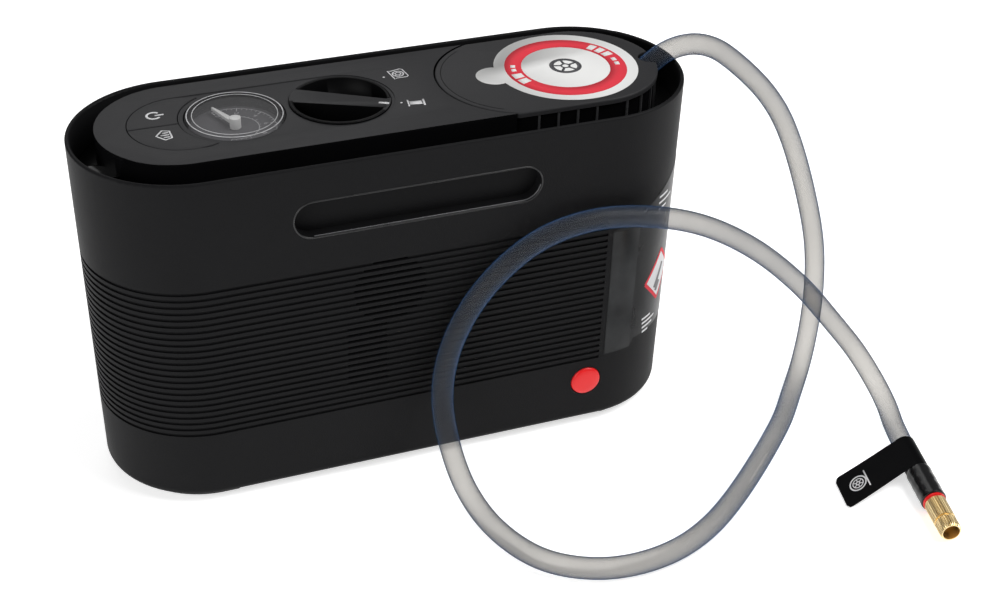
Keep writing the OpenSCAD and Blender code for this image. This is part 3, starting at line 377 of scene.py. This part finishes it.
line = smooth_line(ROUTE)
bm = bmesh.new()
outer_start, outer_end = sweep(bm, line, HOSE_R - 0.02, HOSE_SIDES)
inner_start, inner_end = sweep(bm, line, HOSE_R - HOSE_WALL, HOSE_SIDES, flip=True)
skin(bm, [outer_start, inner_start], flip=True)
skin(bm, [outer_end, inner_end])
bmesh.ops.recalc_face_normals(bm, faces=bm.faces)
hose = make("hose_tube", bm, HOSE, "cartridge", ("sealant_hose",), smooth=None)


# ---- hose end: flag, sleeve, washer, coupling ----
FLAG_PLACE = Matrix.Translation(Vector(WRAP) * MM) @ Matrix.Rotation(HEADING, 4, "Z")


def tail_point(u):
    """Side and height, in mm, of the flag's tail at a share u of its length."""
    y0, z0 = -FLAG_R * math.sin(FLAG_TILT), WRAP[2] + FLAG_R * math.cos(FLAG_TILT)
    drop = (z0 - TAIL_LOW) * (0.9 * u + 0.1 * math.sin(math.pi / 2 * u) ** 2)
    return y0 - TAIL_LEN * u, z0 - drop - TAIL_SAG * math.sin(math.pi * u)


def film_ends(u):
    """Where the film starts and ends along the hose, in mm; its tail slants towards the coupling."""
    return 0.3 + 14.7 * u, WRAP_LEN - 0.4 + 15.6 * u


def flag(wrap_steps=48, tail_steps=30, columns=10):
    """Folded film: once round the hose, then a tail with rounded corners that slopes to the floor."""
    bm = bmesh.new()
    rows = []

    def add_row(y, z, x0, x1):
        rows.append([bm.verts.new(((x0 + (x1 - x0) * i / columns) * MM, y * MM, (z - WRAP[2]) * MM))
                     for i in range(columns + 1)])

    for k in range(wrap_steps + 1):
        a = math.pi / 2 + FLAG_TILT - 2 * math.pi * (1 - k / wrap_steps)
        add_row(FLAG_R * math.cos(a), WRAP[2] + FLAG_R * math.sin(a), *film_ends(0))
    for k in range(1, tail_steps + 1):
        u = k / tail_steps
        corner = max(0.0, (u - 0.93) / 0.07)
        inset = 2.6 * (1 - math.sqrt(max(0.0, 1 - corner ** 2)))
        x0, x1 = film_ends(u)
        add_row(*tail_point(u), x0 + inset, x1 - inset)
    sheet(bm, rows)
    bmesh.ops.recalc_face_normals(bm, faces=bm.faces)
    o = make("flag_film", moved(bm, FLAG_PLACE), FLAG, "cartridge", ("hose_flag",), smooth=None)
    thicken(o, FLAG_T)
    o.data.shade_smooth()
    o.data.set_sharp_from_angle(angle=math.radians(50))
    return o


flag_piece = flag()

sleeve_profile = [(HOSE_R + 0.1, 0.0), (SLEEVE_R - 0.5, 0.0), (SLEEVE_R - 0.12, 0.25), (SLEEVE_R, 0.8)]
for k in range(1, 12):
    z = 0.8 + (SLEEVE_LEN - 1.6) * k / 12
    sleeve_profile.append((SLEEVE_R - 0.1 + 0.08 * math.sin(k * 1.7), z))
sleeve_profile += [(SLEEVE_R, SLEEVE_LEN - 0.8), (SLEEVE_R - 0.15, SLEEVE_LEN - 0.2),
                   (SLEEVE_R - 0.6, SLEEVE_LEN), (0, SLEEVE_LEN)]
sleeve_piece = make("sleeve_shrunk", moved(lathe(sleeve_profile, 64), hose_frame(WRAP_LEN)), SLEEVE,
                    "cartridge", ("hose_sleeve",))

washer_profile = [(0, 0), (4.9, 0), (5.35, 0.25), (5.4, 0.75), (5.35, 1.25), (4.9, WASHER_T), (0, WASHER_T)]
washer_piece = make("washer_red", moved(lathe(washer_profile, 64), hose_frame(WRAP_LEN + SLEEVE_LEN)), RED,
                    "cartridge", ("hose_washer",))


def coupling(steps=192):
    """Fluted coupling with a waist, a chamfered mouth and a bore with its valve pin."""
    waist_low, waist_high = 12.6, 13.4
    mouth = COUPLING_LEN

    def radius(z, a):
        flute = 0.3 * (0.5 - 0.5 * math.cos(FLUTES * a)) ** 2
        if z < 0.4:
            return COUPLING_R - 0.55 + z - flute * z / 0.4
        if z < waist_low:
            return COUPLING_R - flute
        if z < waist_high:
            return COUPLING_R - 0.75
        return COUPLING_R - 0.1 - flute - max(0.0, z - mouth + 1.4) * 0.42

    heights = [0.0, 0.2] + [0.4 + 12.2 * k / 60 for k in range(60)]
    heights += [waist_low, 12.62, 12.8, 13.3, 13.42, 13.6, 16, mouth - 1.4, mouth - 0.7, mouth]
    bore = ((3.95, mouth), (3.85, mouth - 0.3), (3.85, 7.0), (1.4, 7.0), (1.4, 9.5), (0.9, 10.2))
    bm = bmesh.new()
    rings = [circle(bm, lambda a: radius(z, a), z, steps) for z in heights]
    rings += [circle(bm, r, z, steps) for r, z in bore]
    skin(bm, rings)
    bm.faces.new(rings[0][::-1])
    bm.faces.new(rings[-1])
    bmesh.ops.recalc_face_normals(bm, faces=bm.faces)
    moved(bm, hose_frame(WRAP_LEN + SLEEVE_LEN + WASHER_T))
    return make("coupling_knurled", bm, BRASS, "cartridge", ("valve_coupling",), smooth=28)


coupling_piece = coupling()

# ---- plain CAD nodes with their finishes ----
PLAIN = {
    SHELL: ["outer_shell"],
    GLOSS: ["inner_frame"],
    RUBBER: ["feet"],
    SEAL: ["lead_grommet", "cap_seal", "piston_seal", "air_tubes"],
    INNER: ["base_plate", "gauge_body", "valve_block", "motor_end_cap", "cooling_fan", "connecting_rod",
            "bottle_port", "air_socket", "tact_switches", "motor_magnets"],
    LABEL: ["side_label"],
    DIAL: ["gauge_dial"],
    NEEDLE: ["selector_spool", "pickup_elbow", "crank_gear"],
    CLEAR: ["lamp_lens"],
    BOTTLE: ["sealant_bottle"],
    STEEL: ["base_screws", "release_latch", "release_spring", "motor_can", "motor_shaft", "crank_shaft",
            "crank_pin", "head_screws", "wrist_pin", "reed_valve", "needle_staff"],
    ALLOY: ["gear_plate", "pump_cylinder", "cylinder_head", "piston"],
    BRASS: ["bourdon_tube", "motor_pinion", "crank_bearing"],
    COPPER: ["motor_armature"],
    BOARD: ["switch_board", "lamp_board"],
}
for mat, names in PLAIN.items():
    for n in names:
        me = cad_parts[n].data
        me.materials.clear()
        me.materials.append(mat)


# ---- deck, cap, buttons, knob ----
def near(a, b, z, tol=0.05):
    return abs(a[2] - z) < tol and abs(b[2] - z) < tol


def outer_edge(p, r):
    x = max(abs(p[0]) - HALF, 0)
    return abs(math.hypot(x, p[1]) - r) < 0.1


def deck_edges(a, b):
    if near(a, b, DECK_TOP) and outer_edge(a, DECK_R) and outer_edge(b, DECK_R):
        return 1.0
    if a[2] > DECK_TOP - 0.5 and b[2] > DECK_TOP - 0.5:
        return 0.22
    return 0.0


refine("top_deck", [DECK, GLOSS], "housing", deck_edges,
       faces=lambda c, n: 0 if c[2] > DECK_TOP - 2.6 and n[2] > -0.5 else 1)


def cap_face(c, n):
    """Grey top plate, black skirt, and the skirt's fins in a lighter grey as a painted highlight."""
    if c[2] > DECK_TOP - 2.4:
        return 0
    return 2 if math.hypot(max(c[0] - HALF, 0), c[1]) > DECK_R - 1.1 else 1


refine("cartridge_cap", [DECK, GLOSS, FIN_HIGHLIGHT_AND_DIAL_PRINT], "cartridge", lambda a, b: 0.8 if near(a, b, DECK_TOP) else 0.0,
       faces=cap_face)
for n in ("power_button", "light_button"):
    refine(n, BUTTON, n, lambda a, b: 0.3 if near(a, b, DECK_TOP) else 0.0)
refine("selector_knob", [DECK, RECESS], "selector", lambda a, b: 0.3 if near(a, b, KNOB_TOP) else 0.0,
       faces=lambda c, n: 0 if (c[2] > KNOB_TOP - 0.05 and n[2] > 0.5) else 1)
refine("gauge_needle", NEEDLE, "needle", lambda a, b: 0.25)

# ---- release button: a shallow dome with a rounded edge ----
face_y = -side_radius(RELEASE_Z)
stem_end = face_y + 39.4
profile = [(0, 1.5), (3, 1.46), (5, 1.32), (6.2, 1.08), (6.9, 0.7), (7.25, 0.25), (RELEASE_R, -0.4),
           (RELEASE_R, -2.5), (RELEASE_R + 1.1, -2.5), (RELEASE_R + 1.1, -3.7), (2.2, -3.7), (2.2, stem_end),
           (0, stem_end)]
spot = Matrix.Translation(Vector((RELEASE_X, face_y, RELEASE_Z)) * MM) @ Matrix.Rotation(math.pi / 2, 4, "X")
make("release_dome", moved(lathe(profile), spot), RED, "release", ("release_button",))

# ---- lips of the finger grips, and a painted highlight along their lower inner corner ----
def grip_path(side, inset, depth, bottom_only=False):
    """Rounded outline of a finger grip, inset from its edge and sunk below the wall's surface, in mm."""
    r = GRIP_H / 2 - inset
    x = GRIP_LEN / 2 - GRIP_H / 2
    turns = range(-90, -9, 8) if bottom_only else range(-90, 91, 6)
    pts = [(x + r * math.cos(math.radians(a)), r * math.sin(math.radians(a))) for a in turns]
    if bottom_only:
        pts = [(-x + 2.2 * k, -r) for k in range(int(2 * x / 2.2))] + pts
    else:
        pts += [(-px, -pz) for px, pz in pts]
    return [Vector((px, side * (side_radius(GRIP_Z + pz) - depth), GRIP_Z + pz)) for px, pz in pts]


for side, where in ((-1, "front"), (1, "back")):
    bm = bmesh.new()
    path = grip_path(side, -0.1, 0.2)
    sweep(bm, path + path[:1], 0.45, 10)
    make("grip_lip_" + where, bm, LIP, "housing", (), smooth=None)
    # light grey bead along the lower inner corner: a painted highlight
    bm = bmesh.new()
    sweep(bm, grip_path(side, 0.3, 0.9, True), 0.28, 8)
    make("grip_painted_highlight_" + where, bm, LIP_PAINTED_HIGHLIGHT, "housing", (), smooth=None)

# ---- gauge lens ----
lens = [(0, LENS_TOP), (16, LENS_TOP), (19.2, 171.55), (20.2, 171.45), (20.9, 171.2), (21.4, 170.8),
        (21.65, 170.2), (LENS_R, 169.5), (LENS_R, DIAL_TOP + 0.02), (20.2, DIAL_TOP + 0.02), (20.1, 168.2),
        (19.8, 169.0), (19.2, 169.5), (18.4, 169.75), (18.2, 170.3), (0, 170.35)]
make("lens_clear", moved(lathe(lens, 128), Matrix.Translation((GAUGE_X * MM, 0, 0))), WINDOW, "housing",
     ("gauge_lens",), smooth=40)


# ---- printed marks ----
def ribbon(bm, pts, width, closed=False):
    """Flat stroke of constant width along points (right, up)."""
    n = len(pts)
    left, right_side = [], []
    for i in range(n):
        p = Vector(pts[i])
        a = Vector(pts[(i - 1) % n]) if (closed or i > 0) else p
        b = Vector(pts[(i + 1) % n]) if (closed or i < n - 1) else p
        t = (b - a).normalized()
        across = Vector((-t[1], t[0])) * width / 2
        left.append(bm.verts.new((*(p + across), 0)))
        right_side.append(bm.verts.new((*(p - across), 0)))
    for i in range(n if closed else n - 1):
        j = (i + 1) % n
        bm.faces.new((left[i], right_side[i], right_side[j], left[j]))


def arc(r, a0, a1, steps=24, c=(0, 0)):
    """Points of an arc about c from a0 to a1 degrees."""
    return [(c[0] + r * math.cos(math.radians(a0 + (a1 - a0) * k / steps)),
             c[1] + r * math.sin(math.radians(a0 + (a1 - a0) * k / steps))) for k in range(steps + 1)]


def hoop(bm, r, width, steps=96):
    ribbon(bm, arc(r, 0, 360, steps)[:-1], width, closed=True)


def spoke(bm, a, r0, r1, width):
    """Stroke from r0 to r1 along the ray at an angle in radians."""
    c, s = math.cos(a), math.sin(a)
    ribbon(bm, [(r0 * c, r0 * s), (r1 * c, r1 * s)], width)


def patch(bm, pts):
    bm.faces.new([bm.verts.new((x, y, 0)) for x, y in pts])


def flat(x, y, z, turn=0.0):
    """Place of a mark that is drawn with its right along +X."""
    return Matrix.Translation((x * MM, y * MM, z * MM)) @ Matrix.Rotation(turn, 4, "Z") @ Matrix.Scale(MM, 4)


def from_left(x, y, z, turn=0.0):
    """Place of a mark that is read from the left end: its up is +X and its right is -Y."""
    return flat(x, y, z, turn - math.pi / 2)


def mark(name, draw, matrix, mat=WHITE_PRINT, body="housing"):
    """A thin printed piece: draw fills a mesh in mm, matrix puts it in place."""
    bm = bmesh.new()
    draw(bm)
    for f in bm.faces:
        if f.normal[2] < 0:
            f.normal_flip()
    o = make(name, moved(bm, matrix), mat, body, (), smooth=None)
    thicken(o, PRINT_T)
    return o


def power_icon(bm):
    ribbon(bm, arc(2.9, 130, 410, 30), 1.05)
    ribbon(bm, [(0, 0.6), (0, 4.4)], 1.05)


def lamp_icon(bm):
    ribbon(bm, [(-3.0, 2.6), (3.0, 2.6), (4.2, -0.4), (0, -3.6), (-4.2, -0.4)], 0.8, closed=True)
    for x in (-1.9, 0, 1.9):
        ribbon(bm, [(x, -1.6 + 0.5 * abs(x)), (x, 1.9)], 0.8)


def tyre_icon(bm):
    hoop(bm, 2.5, 0.55, 30)
    hoop(bm, 1.2, 0.4, 20)
    for k in range(6):
        spoke(bm, math.radians(60 * k), 1.3, 2.4, 0.35)
    ribbon(bm, [(-4.2, 2.6), (-3.4, 3.5), (3.4, 3.5), (4.2, 2.6), (3.6, -2.4), (4.4, -3.4), (-4.4, -3.4),
                (-3.6, -2.4)], 0.5, closed=True)


def pump_icon(bm):
    patch(bm, [(-1.5, -3.2), (1.5, -3.2), (1.5, 2.2), (-1.5, 2.2)])
    patch(bm, [(-2.8, 2.6), (2.8, 2.6), (2.8, 3.5), (-2.8, 3.5)])
    ribbon(bm, [(-2.9, -3.8), (2.9, -3.8)], 0.7)


def dot(bm):
    patch(bm, arc(0.55, 0, 360, 16)[:-1])


def knob_rim(bm):
    for start in (-14.0, 166.0):
        ribbon(bm, arc(21.3, start, start + 150.0, 60), 1.62)


def knob_index(bm):
    patch(bm, [(17.0, -0.75), (21.6, -0.75), (21.6, 0.75), (17.0, 0.75)])


PRINT_Z = DECK_TOP + PRINT_LIFT
mark("icon_power", power_icon, from_left(-101, 10, PRINT_Z), body="power_button")
mark("icon_lamp", lamp_icon, from_left(-100, -8.5, PRINT_Z), body="light_button")
mark("icon_tyre", tyre_icon, from_left(10.5, 16.2, PRINT_Z, 0.12))
mark("icon_pump", pump_icon, from_left(9.8, -12.7, PRINT_Z, -0.15))
mark("dot_tyre", dot, from_left(3.4, 14.9, PRINT_Z))
mark("dot_air", dot, from_left(3.3, -10.8, PRINT_Z))
mark("knob_rim", knob_rim, flat(KNOB_X, 0, KNOB_TOP + PRINT_LIFT), RECESS, "selector")
mark("knob_index", knob_index, flat(KNOB_X, 0, KNOB_TOP + PRINT_LIFT, math.radians(-KNOB_TURN / 2)),
     body="selector")

# ---- dial ----
ZERO, SWEEP = 112.5, 225.0      # degrees


def dial_angle(u):
    """Direction, in radians, of a share u of the dial's sweep."""
    return math.radians(ZERO - SWEEP * u)


def dial_marks(bm):
    for k in range(31):
        long = k % 5 == 0
        spoke(bm, dial_angle(k / 30), 15.2 if long else 16.5, 17.6, 0.45 if long else 0.25)
    ribbon(bm, arc(17.7, ZERO, ZERO - SWEEP, 80), 0.3)
    ribbon(bm, arc(10.2, ZERO, ZERO - SWEEP, 80), 0.35)
    for k in range(21):
        spoke(bm, dial_angle(k / 20), 10.2, 11.6 if k % 4 == 0 else 11.0, 0.25)


def number(name, text, size, matrix):
    """Figure on the dial as a mesh; its size is in mm."""
    curve = bpy.data.curves.new(name, "FONT")
    curve.body = text
    curve.size = size * MM
    curve.align_x = "CENTER"
    curve.align_y = "CENTER"
    curve.resolution_u = 3
    holder = bpy.data.objects.new(name + "_tmp", curve)
    bpy.context.scene.collection.objects.link(holder)
    deps = bpy.context.evaluated_depsgraph_get()
    me = bpy.data.meshes.new_from_object(holder.evaluated_get(deps))
    bpy.data.objects.remove(holder)
    me.transform(matrix)
    bm = bmesh.new()
    bm.from_mesh(me)
    make(name, bm, DIAL_PRINT, "housing", (), smooth=None)


mark("dial_marks", dial_marks, flat(GAUGE_X, 0, DIAL_TOP + PRINT_LIFT), DIAL_PRINT)
for k in range(7):
    a = dial_angle(k / 6)
    at = Vector((GAUGE_X + 13.4 * math.cos(a), 13.4 * math.sin(a), DIAL_TOP + 0.06)) * MM
    number(f"dial_number_{k}", str(2 * k), 2.9,
           Matrix.Translation(at) @ Matrix.Rotation(-math.pi / 2, 4, "Z"))
# the two lens rings are light grey painted highlights of the lens's rims; dial_rim is print on the dial
for name, r, width, z, mat in (("dial_rim", 19.25, 0.3, DIAL_TOP + 0.05, FIN_HIGHLIGHT_AND_DIAL_PRINT),
                               ("lens_rim_painted_highlight", 20.55, 0.5, LENS_TOP - 0.05, LENS_PAINTED_HIGHLIGHT),
                               ("lens_step_painted_highlight", 18.275, 0.35, LENS_TOP + 0.04, LENS_PAINTED_HIGHLIGHT)):
    mark(name, lambda bm: hoop(bm, r, width), flat(GAUGE_X, 0, z), mat)


# ---- sticker on the cap ----
def sticker_base(bm):
    """White disc and its lift tab as one outline."""
    r, tx, ty = 8.4, -34.4, 0.8
    d = math.hypot(tx, ty)
    a = math.acos((STICKER_R ** 2 + d * d - r * r) / (2 * STICKER_R * d))
    b = math.acos((r * r + d * d - STICKER_R ** 2) / (2 * r * d))
    base = math.atan2(ty, tx)
    pts = arc(STICKER_R, math.degrees(base + a), math.degrees(base - a + 2 * math.pi), 110)
    pts += arc(r, math.degrees(base - math.pi + b), math.degrees(base + math.pi - b), 30, (tx, ty))[1:-1]
    patch(bm, pts)


def band_blocks(bm):
    """Plain blocks on the red band: from and to in degrees, then the width."""
    for a0, a1, w in ((12, 20, 4.8), (23, 31, 4.8), (34, 42, 4.8), (-2, 5, 2.2), (-12, -5, 2.2),
                      (180, 190, 4.8), (193, 203, 4.8), (168, 174, 2.2), (159, 165, 2.2)):
        ribbon(bm, arc(BAND_R, a0, a1, 8), w)


def wheel_sign(bm):
    hoop(bm, 6.4, 2.0, 48)
    hoop(bm, 1.9, 1.0, 24)
    for k in range(5):
        spoke(bm, math.radians(90 + 72 * k), 2.3, 5.5, 1.2)


mark("cap_crease", lambda bm: ribbon(bm, arc(35.4, 122, 238, 60), 0.3), flat(CAP_X - 14, 0, PRINT_Z), RECESS,
     "cartridge")
sticker = mark("sticker_film", sticker_base, flat(STICKER_X, 0, DECK_TOP + 0.15), STICKER, "cartridge")
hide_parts("speed_label")
mark("sticker_ring", lambda bm: hoop(bm, BAND_R, 7.6), flat(STICKER_X - 0.3, -0.5, DECK_TOP + 0.21), RING_RED,
     "cartridge")
mark("sticker_dashes", band_blocks, flat(STICKER_X - 0.3, -0.5, DECK_TOP + 0.26), STICKER, "cartridge")
mark("sticker_wheel", wheel_sign, flat(STICKER_X, 0.5, DECK_TOP + 0.2), PRINT_DARK, "cartridge")


# ---- wheel sign on the flag ----
def on_flag(along, down, out=0.28):
    """Point over the flag's tail: along the hose from the tail's middle line, down from its bend, in mm."""
    u = down / TAIL_LEN
    y, z = tail_point(u)
    return FLAG_PLACE @ (Vector((sum(film_ends(u)) / 2 + along, y, z + out - WRAP[2])) * MM)


def flag_sign(bm):
    hoop(bm, 4.0, 0.7, 40)
    hoop(bm, 2.6, 0.5, 30)
    hoop(bm, 0.9, 0.6, 16)
    for k in range(6):
        spoke(bm, math.radians(60 * k), 1.0, 2.6, 0.45)
    ribbon(bm, [(-5.3, 4.7), (5.3, 4.7)], 0.7)
    for v in bm.verts:
        v.co = on_flag(v.co[0], 27.6 - v.co[1])


mark("flag_wheel", flag_sign, Matrix.Identity(4), body="cartridge")


# ---- wrapped label on the right end ----
def on_end(angle, z, out=0.0):
    """Point on the right end: angle in degrees from +X towards the back."""
    r = side_radius(z) + out
    a = math.radians(angle)
    return Vector((HALF + r * math.cos(a), r * math.sin(a), z)) * MM


def wrapped(name, draw, out, mat):
    """A film on the right end that stands out from the wall by so many mm."""
    bm = bmesh.new()
    draw(bm, out)
    bmesh.ops.recalc_face_normals(bm, faces=bm.faces)
    return make(name, bm, mat, "housing", (), smooth=None)


def band(a0, a1, z0, z1, steps=24):
    """Grid patch between two angles; z0 and z1 may be functions of the angle."""
    def draw(bm, out):
        rows = []
        for k in range(steps + 1):
            a = a0 + (a1 - a0) * k / steps
            lo = z0(a) if callable(z0) else z0
            hi = z1(a) if callable(z1) else z1
            rows.append([bm.verts.new(on_end(a, lo + (hi - lo) * j / 6, out)) for j in range(7)])
        sheet(bm, rows)
    return draw


def label_top(a):
    """Top edge of the wrapped label, in mm, at an angle in degrees; it climbs from the front."""
    return 109 + (a + 90) * 0.33 if a < -30 else 128.8


def label_foot(a):
    return 40 if abs(a) > 70 else 44


label = wrapped("label_wrap", band(-89.5, 89.5, label_foot, label_top, 60), 0.12, LABEL)
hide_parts("side_label")
wrapped("label_strip", band(-89, -71.5, 40.5, 108.6, 8), 0.16, LABEL_CLEAR)


MM_PER_DEGREE = 0.8             # along the wall of the right end


def wrap_ribbon(strokes, width):
    """Strokes of constant width, each between two points (angle, height) on the right end."""
    def draw(bm, out):
        for (a0, z0), (a1, z1) in strokes:
            across, rise = (a1 - a0) * MM_PER_DEGREE, z1 - z0
            length = math.hypot(across, rise)
            da, dz = -rise / length * width / 2 / MM_PER_DEGREE, across / length * width / 2
            rows = []
            for k in range(7):
                a, z = a0 + (a1 - a0) * k / 6, z0 + rise * k / 6
                rows.append([bm.verts.new(on_end(a + way * da, z + way * dz, out)) for way in (1, -1)])
            sheet(bm, rows)
    return draw


diamond = [((-62, 72), (-46, 86)), ((-46, 86), (-30, 72)), ((-30, 72), (-46, 58)), ((-46, 58), (-62, 72))]
wrapped("label_diamond", wrap_ribbon(diamond, 1.6), 0.2, RING_RED)


def diamond_fill(bm, out):
    rows = []
    for k in range(13):
        u = -1 + 2 * k / 12
        a = -46 + 14.5 * u
        h = 12.6 * (1 - abs(u))
        rows.append([bm.verts.new(on_end(a, 72 - h, out)), bm.verts.new(on_end(a, 72 + h, out))])
    sheet(bm, rows)


wrapped("label_diamond_fill", diamond_fill, 0.18, WHITE_PRINT)
wrapped("label_diamond_sign", wrap_ribbon([((-51, 66), (-42, 77)), ((-49, 63.5), (-45, 68))], 3.0), 0.24,
        PRINT_DARK)
lines = []
for k, w in enumerate((9, 14, 11, 6)):
    lines.append(((-62 + k * 0.5, 52 - 2.6 * k), (-62 + k * 0.5 + w, 52 - 2.6 * k)))
for k, w in enumerate((10, 16, 9)):
    lines.append(((-56, 118 - 3.2 * k), (-56 + w, 118 - 3.2 * k)))
for k, w in enumerate((20, 30, 26, 12)):
    lines.append(((-15, 112 - 6 * k), (-15 + w, 112 - 6 * k)))
wrapped("label_lines", wrap_ribbon(lines, 1.1), 0.2, WHITE_PRINT)

# ---- stage ----
bpy.ops.mesh.primitive_plane_add(size=6, location=(0, 0, 0))
floor = bpy.context.object
floor.name = "floor"
fm = bpy.data.materials.new("floor_pale")
fm.use_nodes = True
fb = fm.node_tree.nodes["Principled BSDF"]
fb.inputs["Base Color"].default_value = (0.86, 0.86, 0.86, 1)
fb.inputs["Roughness"].default_value = 0.7
fb.inputs["Emission Color"].default_value = (1, 1, 1, 1)
fb.inputs["Emission Strength"].default_value = 0.62
floor.data.materials.append(fm)

world = bpy.data.worlds.new("world")
bpy.context.scene.world = world
world.use_nodes = True
world.node_tree.nodes["Background"].inputs["Color"].default_value = (1, 1, 1, 1)
world.node_tree.nodes["Background"].inputs["Strength"].default_value = 0.14


def area(name, at, to, size, power):
    """Square light turned from one place towards another, in metres and watts."""
    data = bpy.data.lights.new(name, "AREA")
    data.shape = "SQUARE"
    data.size = size
    data.energy = power
    o = bpy.data.objects.new(name, data)
    o.location = at
    o.rotation_euler = (Vector(to) - Vector(at)).to_track_quat("-Z", "Y").to_euler()
    bpy.context.scene.collection.objects.link(o)


area("key", (0.75, -0.35, 1.1), (0.05, 0, 0.08), 0.9, 15)
area("left", (-0.9, -0.5, 0.55), (-0.05, 0, 0.1), 0.7, 5.5)
area("top_back", (0.0, 0.9, 0.9), (0.0, 0, 0.15), 0.9, 3)

bpy.context.scene.view_settings.view_transform = "Standard"
